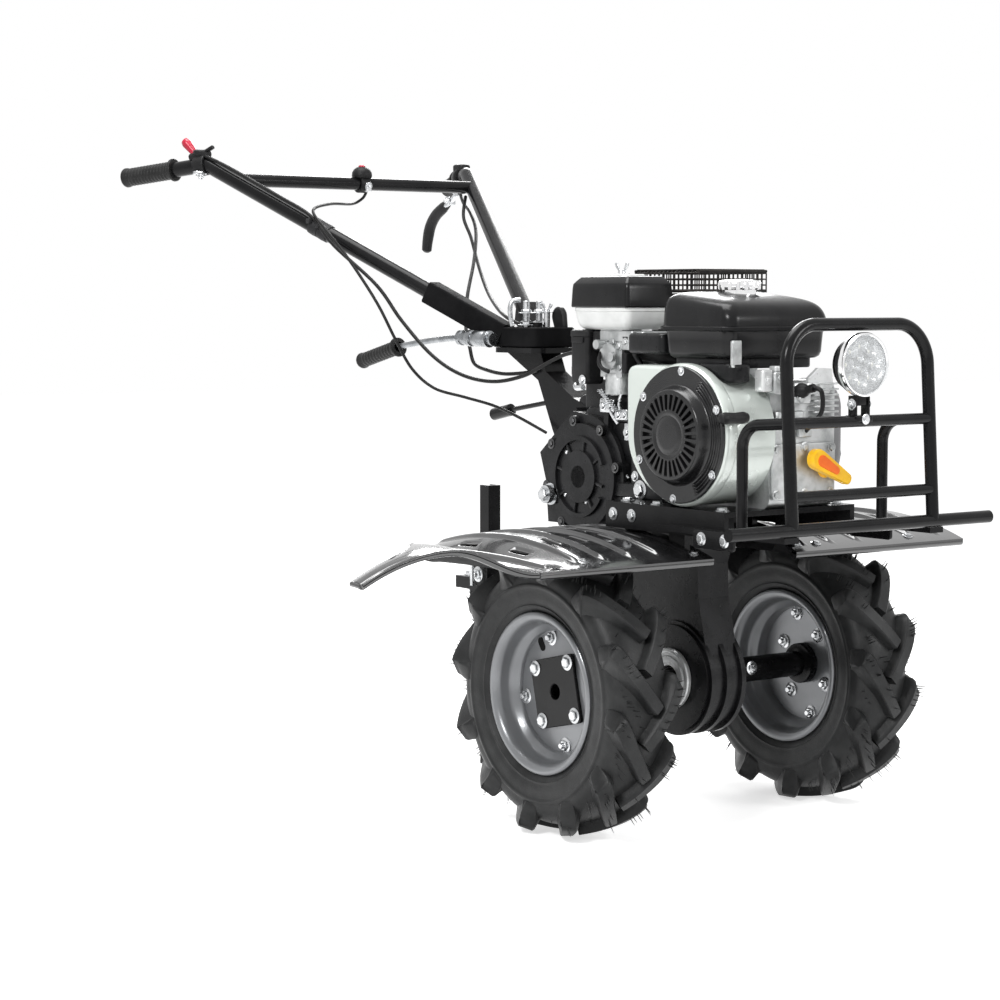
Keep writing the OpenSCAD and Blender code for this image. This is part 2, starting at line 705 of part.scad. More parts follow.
module mudguard_flap() color("#1e1f20") machine() translate([0, 0, guard_edge_z]) {
    translate([guard_front - flap_depth, 0, 0]) rotate([90, 0, 90])
        linear_extrude(flap_depth) flap_strip(guard_t);
    translate([guard_front - lip_t, 0, 0]) rotate([90, 0, 90]) linear_extrude(lip_t) flap_strip(lip_h);
}

module mudguard_stays() color("#1b1c1d") machine() for (s = [-1, 1], x = [0, 84])
    side_solid(s * 103 - 5, s * 103 + 5) difference() {
        translate([x, guard_edge_z]) square([34, bed_z - bed_t - guard_edge_z]);
        translate([guard_mid, guard_cz]) circle(guard_r, $fn = 256);
    }

module bumper() color("#17181a") machine() {
    top = hoop_z - hoop_d / 2;
    right = [[bar_x, -hoop_half_w, bar_z], [hoop_at(top), -hoop_half_w, top]];
    bent_tube([right[0], right[1], side_of(right[1], -1), side_of(right[0], -1)], 56, hoop_d / 2);
    for (s = [-1, 1]) {
        y = s * hoop_half_w;
        bent_tube([[hoop_at(mid_rail_z), y, mid_rail_z], [bar_x - brace_back, y, mid_rail_z - 6],
            [bar_x - brace_back, y, arm_top]], 34, rail_d / 2);
    }
    for (z = [mid_rail_z, low_rail_z]) bar_y(hoop_at(z), z, rail_d / 2, -hoop_half_w, hoop_half_w);
    bar_y(bar_x, bar_z, bar_d / 2, -bar_half_l, bar_half_l);
}

module lamp_bracket() color("#17181a") machine() difference() {
    translate([hoop_at(mid_rail_z) - 16, -16, mid_rail_z]) cube([26, 32, lamp_z - lamp_r + 2 - mid_rail_z]);
    bar_y(hoop_at(mid_rail_z), mid_rail_z, rail_d / 2 + fit / 2, -20, 20);
    translate([lamp_x, 0, lamp_z]) rotate([0, 90, 0]) cylinder(r = lamp_r, h = lamp_depth + lens_t);
}

module lamp_body() color("#1a1a1c") machine() translate([lamp_x, 0, lamp_z]) rotate([0, 90, 0]) {
    cylinder(r = lamp_r, h = lamp_depth);
    translate([0, 0, -16]) cylinder(r1 = lamp_r - 16, r2 = lamp_r - 2, h = 16);
    translate([0, 0, lamp_depth]) difference() {
        cylinder(r = lamp_r, h = lens_t);
        translate([0, 0, -1]) cylinder(r = lamp_r - 3 + fit / 2, h = lens_t + 2);
    }
}

module lamp_lens() color("#dfe5e8", 0.8) machine() translate([lamp_x + lamp_depth, 0, lamp_z])
    rotate([0, 90, 0]) cylinder(r = lamp_r - 3, h = lens_t);

module hitch() color("#1b1c1d") machine() difference() {
    union() {
        translate([-stake_x, -16, hitch_z - 20]) cube([stake_x - 90, 40, 40]);
        translate([-stake_x - 24, -24, hitch_z - 34]) cube([48, 48, 68]);
        translate([-stake_x - 70, -20, hitch_z - 10]) cube([60, 40, 20]);
    }
    translate([-stake_x - stake_side / 2 - fit, -stake_side / 2 - fit, hitch_z - 60])
        cube([stake_side + 2 * fit, stake_side + 2 * fit, 120]);
    translate([-stake_x - 50, 0, hitch_z - 20]) cylinder(r = hitch_hole_r, h = 40);
    case_leg();
}

module drag_stake() color("#26272a") machine()
    translate([-stake_x - stake_side / 2, -stake_side / 2, ground_z]) difference() {
        cube([stake_side, stake_side, stake_l]);
        translate([-1, stake_wall, -1])
            cube([stake_side - stake_wall + 1, stake_side - 2 * stake_wall, stake_l + 2]);
    }

module socket(s) {
    a = side_of(mix(arm_root, arm_bend, socket_from), s);
    b = side_of(mix(arm_root, arm_bend, socket_to), s);
    d = b - a;
    translate(a) rotate([0, acos(d.z / norm(d)), atan2(d.y, d.x)])
        translate([-arm_r - 5, -arm_r - 4, 0]) cube([2 * arm_r + 10, 2 * arm_r + 8, norm(d)]);
}

module handlebar_base() color("#1a1b1d") machine() difference() {
    union() {
        translate([-pivot_x - 70, -44, base_z]) linear_extrude(base_h) round_rect(118, 88, 14);
        socket(1);
        socket(-1);
    }
    translate([-pivot_x, 0, base_z - 1]) cylinder(r = 8 + run_gap, h = base_h + 2);
    translate([-pivot_x - 200, -200, base_z - 100]) cube([400, 400, 100]);
}

module clamp_nut() color("#c3c5c6") machine() translate([-pivot_x, 0, base_z + base_h]) {
    difference() {
        cylinder(r = 18, h = 10);
        translate([0, 0, -1]) cylinder(r = 8 + run_gap, h = 12);
    }
    for (y = [-13, 13]) translate([-12, y, 0]) {
        cylinder(r = 6, h = stud_h);
        translate([0, 0, stud_h - 12]) cylinder(r = 10, h = 8, $fn = 6);
    }
    translate([-17, -20, 10]) cube([10, 40, 5]);
}

module handlebar_frame() color("#17181a") machine() {
    for (s = [-1, 1]) {
        tip = arm_bend + grip_dir() * (grip_start() - fit / 2);
        bent_tube([side_of(mix(arm_root, arm_bend, socket_to), s), side_of(arm_bend, s), side_of(tip, s)],
            40, arm_r);
    }
    c = mix(arm_root, arm_bend, cross_at);
    bar_y(c.x, c.z, cross_d / 2, -c.y, c.y);
}

module grip(s) {
    tip = [arm_end_x, arm_end_y, arm_end_z];
    rod(side_of(tip - grip_dir() * grip_l, s), side_of(tip, s), grip_d / 2);
}
module grip_right() color("#141415") machine() grip(-1);
module grip_left() color("#141415") machine() grip(1);

// A clamp ring on the handlebar, at a distance before the grip.
module collar(s, at, w, wall = 4) {
    p = side_of(arm_bend + grip_dir() * (grip_start() - at), s);
    d = side_of(grip_dir(), s);
    difference() {
        union() {
            rod(p - d * w / 2, p + d * w / 2, arm_r + wall);
            translate(p) children();
        }
        rod(p - d * 60, p + d * 60, arm_r + fit / 2);
    }
}

module throttle_lever() color("#c0142c") machine() collar(-1, 30, 14) {
    translate([-10, -9, arm_r]) cube([24, 18, 14]);
    translate([-14, -3, arm_r + 12]) cube([16, 6, 28]);
}

module stop_switch() color("#1b1b1c") machine() {
    c = mix(arm_root, arm_bend, cross_at);
    difference() {
        union() {
            bar_y(c.x, c.z, cross_d / 2 + 4, 3, 17);
            translate([c.x, 10, c.z]) cylinder(r = 15, h = cross_d / 2 + 24);
        }
        bar_y(c.x, c.z, cross_d / 2 + fit / 2, -10, 30);
    }
}

module clutch_lever() color("#161617") machine() collar(1, 24, 16) {
    translate([-11, -8, -arm_r - 22]) cube([22, 16, 24]);
    rod([0, 0, -arm_r - 16], [-64, 10, -arm_r - 96], 8);
}

module gear_lever() color("#b9bbbb") machine() {
    pivot = [-388, -74, base_z + 13];
    knee = [-475, -80, base_z + 15];
    translate([pivot.x - 12, pivot.y, base_z + 3]) cube([24, -44 - pivot.y, 20]);
    rod(pivot, knee, 10);
    rod(mix(pivot, knee, 0.82), knee, 13);
    rod(mix(pivot, knee, 0.1), mix(pivot, knee, 0.3), 13);
    rod(knee, gear_root + unit(knee - gear_root) * 2 * fit, 5);
}

module gear_grip() color("#151516") machine() rod(gear_root, gear_end, 13);

module throttle_cable() color("#1a1a1a") machine() cable(throttle_route, cable_d);
module switch_wire() color("#1a1a1a") machine() cable(switch_route, wire_d);
module clutch_cable() color("#1a1a1a") machine() cable(clutch_route, cable_d);
module swivel_cable() color("#1a1a1a") machine() cable(swivel_route, cable_d);

tyre_right();
tyre_left();
rim_right();
rim_left();
hub_right();
hub_left();
axle();
gear_case();
case_cover();
case_plug();
axle_seal();
engine_bed();
engine_block();
fan_shroud();
recoil_starter();
starter_grip();
fuel_tank();
fuel_cap();
air_cleaner_base();
air_cleaner_cover();
carburettor();
choke_box();
muffler();
muffler_guard();
oil_dipstick();
belt_guard();
handle_column();
column_head();
shift_rod();
mudguard_right();
mudguard_left();
mudguard_flap();
mudguard_stays();
bumper();
lamp_bracket();
lamp_body();
lamp_lens();
hitch();
drag_stake();
handlebar_base();
clamp_nut();
handlebar_frame();
grip_right();
grip_left();
throttle_lever();
stop_switch();
clutch_lever();
gear_lever();
gear_grip();
throttle_cable();
switch_wire();
clutch_cable();
swivel_cable();
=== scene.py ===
import math

import bmesh
import bpy
import numpy as np
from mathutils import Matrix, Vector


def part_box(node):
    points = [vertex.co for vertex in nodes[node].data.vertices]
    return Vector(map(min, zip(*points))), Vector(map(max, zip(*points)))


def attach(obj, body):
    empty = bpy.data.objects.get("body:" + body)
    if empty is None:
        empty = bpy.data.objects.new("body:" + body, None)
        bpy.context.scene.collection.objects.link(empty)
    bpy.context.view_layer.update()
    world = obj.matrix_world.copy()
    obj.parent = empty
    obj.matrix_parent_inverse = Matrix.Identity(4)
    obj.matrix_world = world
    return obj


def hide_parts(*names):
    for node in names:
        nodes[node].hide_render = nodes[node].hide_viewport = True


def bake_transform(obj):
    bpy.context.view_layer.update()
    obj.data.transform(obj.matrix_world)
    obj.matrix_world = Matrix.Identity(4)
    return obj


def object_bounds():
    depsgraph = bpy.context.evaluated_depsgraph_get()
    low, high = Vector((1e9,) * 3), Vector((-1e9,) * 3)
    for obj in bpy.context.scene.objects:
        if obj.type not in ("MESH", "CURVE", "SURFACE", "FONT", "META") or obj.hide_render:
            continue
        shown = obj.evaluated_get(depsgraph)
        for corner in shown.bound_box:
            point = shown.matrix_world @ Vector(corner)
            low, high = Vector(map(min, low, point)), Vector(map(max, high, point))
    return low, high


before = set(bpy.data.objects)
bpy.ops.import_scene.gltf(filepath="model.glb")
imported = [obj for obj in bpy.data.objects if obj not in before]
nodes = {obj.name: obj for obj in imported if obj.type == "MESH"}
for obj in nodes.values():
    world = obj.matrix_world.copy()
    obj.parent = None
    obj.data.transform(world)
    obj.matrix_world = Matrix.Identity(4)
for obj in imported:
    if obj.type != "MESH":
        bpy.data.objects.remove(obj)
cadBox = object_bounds()
scene = bpy.context.scene
scene.view_settings.view_transform = "Standard"

# The machine's own zero lies on the ground under the middle of the axle; its sizes are in millimetres.
axleLow, axleHigh = (np.array(corner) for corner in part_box("axle"))
groundMid = (axleLow + axleHigh) / 2 * (1, 1, 0)
toFront, toRear, toLeft, toRight = (1, 0, 0), (-1, 0, 0), (0, 1, 0), (0, -1, 0)
toTop, toGround, noShift = (0, 0, 1), (0, 0, -1), (0, 0, 0)


def row(points):
    # machine millimetres to the frame's metres
    return np.asarray(points, float) / 1000 + groundMid


def unit(v):
    v = np.asarray(v, float)
    return v / np.linalg.norm(v, axis=-1, keepdims=True)


print("stage: frame loaded,", len(nodes), "nodes")

# Camera, floor and light

cameraView = {"azimuth": 53.53, "elevation": 4.61, "distance": 3717.9, "lens": 90.0, "sensor": 36,
              "target": (-166.3, -225.0, 471.4)}


def makeCamera(view):
    azimuth, elevation = math.radians(view["azimuth"]), math.radians(view["elevation"])
    back = np.array([math.sin(azimuth) * math.cos(elevation), -math.cos(azimuth) * math.cos(elevation),
                     math.sin(elevation)])
    camera = bpy.data.objects.new("camera", bpy.data.cameras.new("camera"))
    scene.collection.objects.link(camera)
    camera.data.lens = view["lens"]
    camera.data.sensor_width = view["sensor"]
    camera.location = row(np.array(view["target"]) + back * view["distance"])
    camera.rotation_euler = (math.pi / 2 - elevation, 0, azimuth)
    scene.camera = camera


makeCamera(cameraView)

studio = {"floorColor": (0.86, 0.86, 0.86), "floorGlow": 0.62, "floorSize": 30.0, "air": 0.5,
          "lamps": [("key", (1.6, -2.9, 2.6), 0.8, 95), ("fill", (3.6, 1.6, 1.9), 1.0, 50),
                    ("top", (-0.3, -0.2, 3.2), 1.8, 80), ("back", (-2.6, 2.2, 2.2), 1.4, 60)]}


def nodeTree(owner):
    owner.use_nodes = True
    owner.node_tree.nodes.clear()
    return owner.node_tree


def addNode(tree, kind, feeds=None, **values):
    # a shader node; each socket is fed by a number, a colour or another node's output
    node = tree.nodes.new("ShaderNode" + kind)
    for key, value in values.items():
        setattr(node, key, value)
    for key, value in (feeds or {}).items():
        if isinstance(value, tuple):
            node.inputs[key].default_value = (*value, 1)
        elif isinstance(value, (int, float)):
            node.inputs[key].default_value = value
        else:
            tree.links.new(value, node.inputs[key])
    return node


def mathNode(tree, operation, a, b, clamp=False):
    return addNode(tree, "Math", {0: a, 1: b}, operation=operation, use_clamp=clamp).outputs[0]


def seenRays(tree):
    # 1 for rays from the camera, from gloss and through glass
    path = addNode(tree, "LightPath").outputs
    straight = mathNode(tree, "MAXIMUM", path["Is Camera Ray"], path["Is Transmission Ray"])
    return mathNode(tree, "MAXIMUM", straight, path["Is Glossy Ray"])


def makeStudio(s):
    half = s["floorSize"] / 2
    mesh = bpy.data.meshes.new("floor")
    mesh.from_pydata([(-half, -half, 0), (half, -half, 0), (half, half, 0), (-half, half, 0)], [], [(0, 1, 2, 3)])
    floor = bpy.data.objects.new("floor", mesh)
    scene.collection.objects.link(floor)
    paint = bpy.data.materials.new("floorPaint")
    tree = nodeTree(paint)
    diffuse = addNode(tree, "BsdfDiffuse", {"Color": s["floorColor"]})
    glow = addNode(tree, "Emission", {"Strength": mathNode(tree, "MULTIPLY", seenRays(tree), s["floorGlow"])})
    both = addNode(tree, "AddShader", {0: diffuse.outputs[0], 1: glow.outputs[0]})
    addNode(tree, "OutputMaterial", {"Surface": both.outputs[0]})
    mesh.materials.append(paint)
    scene.world = bpy.data.worlds.new("studioAir")
    tree = nodeTree(scene.world)
    strength = addNode(tree, "MapRange", {"Value": seenRays(tree), "To Min": s["air"], "To Max": 1.0})
    back = addNode(tree, "Background", {"Color": (1, 1, 1), "Strength": strength.outputs[0]})
    addNode(tree, "OutputWorld", {"Surface": back.outputs[0]})
    aim = (np.array(cadBox[0]) + np.array(cadBox[1])) / 2
    for name, place, size, power in s["lamps"]:
        lamp = bpy.data.lights.new(name + "Lamp", "AREA")
        lamp.size = size
        lamp.energy = power
        holder = bpy.data.objects.new(name + "Lamp", lamp)
        scene.collection.objects.link(holder)
        holder.location = place
        towards = unit(aim - np.array(place))
        holder.rotation_euler = (0, -math.acos(-towards[2]), math.atan2(towards[1], towards[0]))


makeStudio(studio)
print("stage: camera and studio")

# Shared shader groups: each puts out colours, masks or heights that change over the surface


def newGroup(name, inputs, outputs):
    # an input's value says its kind: three numbers are a colour
    group = bpy.data.node_groups.new(name, "ShaderNodeTree")
    for socketName, value in inputs.items():
        isColor = isinstance(value, tuple)
        kind = "NodeSocketColor" if isColor else "NodeSocketFloat"
        socket = group.interface.new_socket(socketName, in_out="INPUT", socket_type=kind)
        socket.default_value = (*value, 1) if isColor else value
    for socketName, kind in outputs.items():
        group.interface.new_socket(socketName, in_out="OUTPUT", socket_type="NodeSocket" + kind)
    return group, group.nodes.new("NodeGroupInput").outputs, group.nodes.new("NodeGroupOutput").inputs


def noiseNode(tree, scale, detail=3.0, rough=0.55):
    place = addNode(tree, "TexCoord").outputs["Object"]
    feeds = {"Detail": detail, "Roughness": rough, "Scale": scale, "Vector": place}
    return addNode(tree, "TexNoise", feeds).outputs["Fac"]


def ramp(tree, value, low, high):
    feeds = {"Value": value, "From Min": low, "From Max": high}
    return addNode(tree, "MapRange", feeds, interpolation_type="SMOOTHSTEP").outputs[0]


def mixColor(tree, fac, a, b):
    return addNode(tree, "Mix", {"Factor": fac, 6: a, 7: b}, data_type="RGBA").outputs[2]


def makeMottle():
    # two noises blend a paint's main tone with its second tone, and give a slow change of gloss
    group, given, out = newGroup("mottle", {"Main": (0.5, 0.5, 0.5), "Second": (0.4, 0.4, 0.4), "Scale": 30.0,
                                            "Gloss": 0.4, "GlossSpread": 0.1}, {"Color": "Color", "Roughness": "Float"})
    slow = ramp(group, noiseNode(group, given["Scale"]), 0.35, 0.7)
    group.links.new(mixColor(group, slow, given["Main"], given["Second"]), out["Color"])
    fine = noiseNode(group, mathNode(group, "MULTIPLY", given["Scale"], 3.1))
    spread = mathNode(group, "MULTIPLY", mathNode(group, "SUBTRACT", fine, 0.5), given["GlossSpread"])
    group.links.new(mathNode(group, "ADD", spread, given["Gloss"], True), out["Roughness"])
    return group


def makeDust():
    # pale dust settles on faces that look up, broken up by noise
    group, given, out = newGroup("dust", {"Color": (0, 0, 0), "Dust": (0.4, 0.38, 0.34), "Amount": 0.2,
                                          "Scale": 60.0}, {"Color": "Color"})
    parts = addNode(group, "SeparateXYZ", {0: addNode(group, "NewGeometry").outputs["Normal"]})
    up = ramp(group, parts.outputs["Z"], 0.25, 1.0)
    patch = ramp(group, noiseNode(group, given["Scale"], 5.0), 0.35, 0.75)
    lies = mathNode(group, "MULTIPLY", mathNode(group, "MULTIPLY", up, patch), given["Amount"], True)
    group.links.new(mixColor(group, lies, given["Color"], given["Dust"]), out["Color"])
    return group


def makeScuff():
    # thin bright or dark marks where noise crosses a level, in patches
    group, given, out = newGroup("scuff", {"Scale": 90.0, "Amount": 0.5}, {"Mask": "Float"})
    lines = noiseNode(group, given["Scale"], 8.0, 0.7)
    thin = ramp(group, mathNode(group, "ABSOLUTE", mathNode(group, "SUBTRACT", lines, 0.5), 0.0), 0.012, 0.0)
    patch = ramp(group, noiseNode(group, mathNode(group, "MULTIPLY", given["Scale"], 0.16)), 0.5, 0.72)
    marks = mathNode(group, "MULTIPLY", mathNode(group, "MULTIPLY", thin, patch), given["Amount"], True)
    group.links.new(marks, out["Mask"])
    return group


def makeGrain():
    # a fine and a coarse noise give the height of cast, moulded or sprayed skin
    group, given, out = newGroup("grain", {"Scale": 400.0, "Coarse": 0.3}, {"Height": "Float"})
    fine = noiseNode(group, given["Scale"], 2.0)
    broad = noiseNode(group, mathNode(group, "MULTIPLY", given["Scale"], 0.18), 2.0)
    lift = mathNode(group, "MULTIPLY", broad, given["Coarse"])
    group.links.new(mathNode(group, "ADD", fine, lift), out["Height"])
    return group


groups = {"mottle": makeMottle(), "dust": makeDust(), "scuff": makeScuff(), "grain": makeGrain()}
reliefStep = 0.001


def placeGroup(tree, name, **feeds):
    return addNode(tree, "Group", feeds, node_tree=groups[name]).outputs


def endSkin(tree, skin, grain, coarse, bump):
    # grain as bump on the skin, which goes to the material's output
    height = placeGroup(tree, "grain", Scale=grain, Coarse=coarse)["Height"]
    relief = addNode(tree, "Bump", {"Strength": bump, "Distance": reliefStep, "Height": height})
    tree.links.new(relief.outputs["Normal"], skin.inputs["Normal"])
    addNode(tree, "OutputMaterial", {"Surface": skin.outputs[0]})


def makeFinish(name, main, second, gloss, spread, scale, metal=0.0, grain=400.0, coarse=0.3, bump=0.05, dust=0.0,
               dustColor=(0.4, 0.38, 0.35), scuff=0.0, scuffColor=(0.3, 0.3, 0.3), coat=0.0, level=0.5):
    # one paint, casting, plastic or rubber: mottled tone, scuffs, dust on top, and grain as bump
    paint = bpy.data.materials.new(name)
    tree = nodeTree(paint)
    tone = placeGroup(tree, "mottle", Main=main, Second=second, Scale=scale, Gloss=gloss, GlossSpread=spread)
    color = tone["Color"]
    if scuff:
        color = mixColor(tree, placeGroup(tree, "scuff", Scale=scale * 2.2, Amount=scuff)["Mask"], color, scuffColor)
    if dust:
        color = placeGroup(tree, "dust", Color=color, Dust=dustColor, Amount=dust, Scale=scale * 1.7)["Color"]
    skin = addNode(tree, "BsdfPrincipled", {
        "Base Color": color, "Roughness": tone["Roughness"], "Metallic": metal, "Coat Weight": coat,
        "Coat Roughness": 0.05, "Specular IOR Level": level})
    endSkin(tree, skin, grain, coarse, bump)
    return paint


# Each finish: its slot, main tone, second tone, roughness, spread of roughness, scale of the mottling, and the rest
finishTable = {
    "blackPaint": ("black_paint", (0.004, 0.004, 0.0044), (0.007, 0.007, 0.0075), 0.22, 0.14, 22,
                   dict(bump=0.03, grain=900, dust=0.01, scuff=0.08, scuffColor=(0.07, 0.07, 0.07), level=0.16)),
    "sheetPaint": ("black_paint", (0.009, 0.009, 0.0095), (0.016, 0.016, 0.017), 0.13, 0.14, 16,
                   dict(bump=0.03, grain=600, dust=0.04, dustColor=(0.34, 0.34, 0.34), scuff=0.25, coat=0.5,
                        scuffColor=(0.2, 0.2, 0.2), level=0.8)),
    "sleevePaint": ("black_paint", (0.004, 0.004, 0.0044), (0.008, 0.008, 0.0085), 0.62, 0.12, 22,
                    dict(bump=0.06, grain=900, dust=0.01, scuff=0.06, scuffColor=(0.06, 0.06, 0.06), level=0.04)),
    "caseBlack": ("black_paint", (0.006, 0.0062, 0.0068), (0.014, 0.014, 0.015), 0.3, 0.22, 30,
                  dict(bump=0.2, grain=420, coarse=0.8, dust=0.03, scuff=0.25, scuffColor=(0.09, 0.09, 0.09),
                       level=0.18)),
    "zinc": ("steel", (0.62, 0.63, 0.64), (0.4, 0.41, 0.42), 0.26, 0.2, 70, dict(metal=1.0, grain=600)),
    "chrome": ("steel", (0.86, 0.86, 0.86), (0.78, 0.78, 0.79), 0.09, 0.08, 60, dict(metal=1.0, bump=0.02)),
    "alloyCast": ("engine_alloy", (0.5, 0.51, 0.51), (0.32, 0.33, 0.33), 0.4, 0.2, 45,
                  dict(metal=0.85, bump=0.5, grain=520, coarse=0.7, scuff=0.25, scuffColor=(0.2, 0.2, 0.2))),
    "shroudPaint": ("shroud_grey", (0.6, 0.645, 0.61), (0.59, 0.633, 0.6), 0.27, 0.03, 9,
                    dict(metal=0.3, bump=0.0, grain=1200, coat=0.35)),
    "rimPaint": ("rim_grey", (0.2, 0.206, 0.215), (0.17, 0.175, 0.183), 0.3, 0.08, 14,
                 dict(metal=0.35, bump=0.03, grain=900, dust=0.04, coat=0.2)),
    "tyreRubber": ("tyre", (0.012, 0.0124, 0.0127), (0.024, 0.0245, 0.0248), 0.42, 0.22, 24,
                   dict(bump=0.3, grain=620, coarse=0.6, dust=0.05, dustColor=(0.12, 0.12, 0.118), scuff=0.15,
                        scuffColor=(0.1, 0.1, 0.098), level=0.2)),
    "starterBlack": ("black_plastic", (0.005, 0.005, 0.0055), (0.009, 0.009, 0.0095), 0.22, 0.12, 40,
                     dict(bump=0.1, grain=900, level=0.4)),
    "plasticBlack": ("black_plastic", (0.008, 0.008, 0.0085), (0.013, 0.013, 0.0135), 0.42, 0.14, 50,
                     dict(bump=0.25, grain=1100, dust=0.02, level=0.16)),
    "tankGloss": ("tank_black", (0.006, 0.006, 0.0065), (0.01, 0.01, 0.0105), 0.24, 0.1, 20,
                  dict(bump=0.03, grain=500, dust=0.015, level=0.18)),
    "cleanerPale": ("cleaner_grey", (0.72, 0.73, 0.72), (0.64, 0.65, 0.64), 0.4, 0.1, 30,
                    dict(bump=0.1, grain=800, dust=0.03)),
    "mufflerDark": ("muffler_dark", (0.012, 0.0115, 0.011), (0.03, 0.026, 0.023), 0.55, 0.2, 38,
                    dict(bump=0.2, grain=600, dust=0.03, level=0.14)),
    "dipstickYellow": ("dipstick_yellow", (0.95, 0.55, 0.008), (0.9, 0.47, 0.006), 0.3, 0.1, 60, dict(bump=0.06)),
    "dipstickOrange": ("dipstick_yellow", (0.9, 0.16, 0.005), (0.85, 0.13, 0.004), 0.34, 0.1, 60, dict(bump=0.06)),
    "beltGrey": ("belt_grey", (0.15, 0.15, 0.155), (0.12, 0.12, 0.125), 0.42, 0.12, 30,
                 dict(bump=0.2, grain=900, dust=0.06)),
    "gripRubber": ("grip_rubber", (0.01, 0.01, 0.01), (0.017, 0.017, 0.017), 0.45, 0.15, 60,
                   dict(bump=0.22, level=0.18)),
    "switchRed": ("red_plastic", (0.42, 0.003, 0.03), (0.34, 0.002, 0.022), 0.28, 0.1, 60, dict(bump=0.04)),
    "sheathBlack": ("cable_black", (0.008, 0.008, 0.008), (0.014, 0.014, 0.014), 0.42, 0.12, 90,
                    dict(bump=0.08, level=0.15)),
    "sealBright": ("steel", (0.72, 0.73, 0.73), (0.6, 0.61, 0.61), 0.3, 0.15, 60, dict(metal=0.35)),
    "gearSteel": ("steel", (0.3, 0.31, 0.32), (0.2, 0.21, 0.22), 0.28, 0.2, 60, dict(metal=1.0, bump=0.1)),
    "axleSteel": ("steel", (0.06, 0.06, 0.062), (0.1, 0.1, 0.1), 0.34, 0.2, 50, dict(metal=0.8, bump=0.12)),
    # painted shade: a near-black matte finish for plugs that stand in for the shade inside holes and slots
    "paintedHoleShade": ("black_plastic", (0.003, 0.003, 0.003), (0.005, 0.005, 0.005), 0.7, 0.1, 60, dict(level=0.1)),
    "tapeGrey": ("cable_black", (0.016, 0.016, 0.017), (0.028, 0.028, 0.029), 0.5, 0.16, 80,
                 dict(bump=0.2, level=0.16)),
    "ledPale": ("cleaner_grey", (0.85, 0.83, 0.7), (0.8, 0.78, 0.66), 0.3, 0.1, 90, dict(bump=0.02)),
}
slots, finishes = {}, {}
for finishName, (slotName, *tones, rest) in finishTable.items():
    slots[finishName] = slotName
    finishes[finishName] = makeFinish(finishName, *tones, **rest)


def makeLensClear():
    # clear thin lens: fine moulded ribs as bump over a surface that lets most light through
    clear = bpy.data.materials.new("lensClear")
    tree = nodeTree(clear)
    skin = addNode(tree, "BsdfPrincipled", {"Base Color": (0.93, 0.95, 0.96), "Roughness": 0.04, "Alpha": 0.24})
    endSkin(tree, skin, 260.0, 0.5, 0.12)
    return clear


finishes["lensClear"] = makeLensClear()

nodeFinish = {
    "tyreRubber": ["tyre_right", "tyre_left"],
    "rimPaint": ["rim_right", "rim_left"],
    "blackPaint": ["hub_right", "hub_left", "engine_bed", "handle_column", "column_head", "mudguard_stays", "bumper",
                   "lamp_bracket", "hitch", "drag_stake", "handlebar_base", "handlebar_frame", "shift_rod"],
    "sheetPaint": ["mudguard_right", "mudguard_left", "mudguard_flap"],
    "caseBlack": ["gear_case", "case_cover"],
    "zinc": ["axle_seal", "case_plug", "clamp_nut"],
    "axleSteel": ["axle"],
    "gearSteel": ["gear_lever"],
    "alloyCast": ["engine_block", "carburettor"],
    "shroudPaint": ["fan_shroud"],
    "starterBlack": ["recoil_starter", "starter_grip"],
    "plasticBlack": ["choke_box", "lamp_body", "stop_switch", "clutch_lever"],
    "tankGloss": ["fuel_tank", "air_cleaner_cover"],
    "chrome": ["fuel_cap"],
    "cleanerPale": ["air_cleaner_base"],
    "mufflerDark": ["muffler", "muffler_guard"],
    "dipstickYellow": ["oil_dipstick"],
    "beltGrey": ["belt_guard"],
    "lensClear": ["lamp_lens"],
    "gripRubber": ["grip_right", "grip_left", "gear_grip"],
    "switchRed": ["throttle_lever"],
    "sheathBlack": ["throttle_cable", "switch_wire", "clutch_cable", "swivel_cable"],
}
for finishName, members in nodeFinish.items():
    for member in members:
        nodes[member].data.materials.clear()
        nodes[member].data.materials.append(finishes[finishName])
print("stage: finishes on the CAD nodes")

# Mesh makers: a surface is a grid of points, and a piece joins several surfaces


def gridFaces(nu, nv, wrapU=False, wrapV=False):
    # each grid cell gives one four-sided face; a wrapped side joins its last line to its first
    i, j = np.meshgrid(np.arange(nu if wrapU else nu - 1), np.arange(nv if wrapV else nv - 1), indexing="ij")
    i, j = i.ravel(), j.ravel()
    nextI, nextJ = (i + 1) % nu, (j + 1) % nv
    return np.stack([i * nv + j, nextI * nv + j, nextI * nv + nextJ, i * nv + nextJ], 1)


def surface(points, wrapU=False, wrapV=False):
    # a grid of points, with the faces between them
    return points.reshape(-1, 3), gridFaces(*points.shape[:2], wrapU, wrapV)


def capped(points):
    # a tube of closed rings along its first side, shut at both ends by a ring drawn in to its middle
    first, last = (np.repeat(end.mean(1, keepdims=True), points.shape[1], 1) for end in (points[:1], points[-1:]))
    return surface(np.concatenate([first, points, last]), wrapV=True)


def tidyMesh(mesh):
    shape = bmesh.new()
    shape.from_mesh(mesh)
    bmesh.ops.remove_doubles(shape, verts=shape.verts, dist=1e-6)
    bmesh.ops.dissolve_degenerate(shape, edges=shape.edges, dist=1e-7)
    bmesh.ops.recalc_face_normals(shape, faces=shape.faces)
    shape.to_mesh(mesh)
    shape.free()


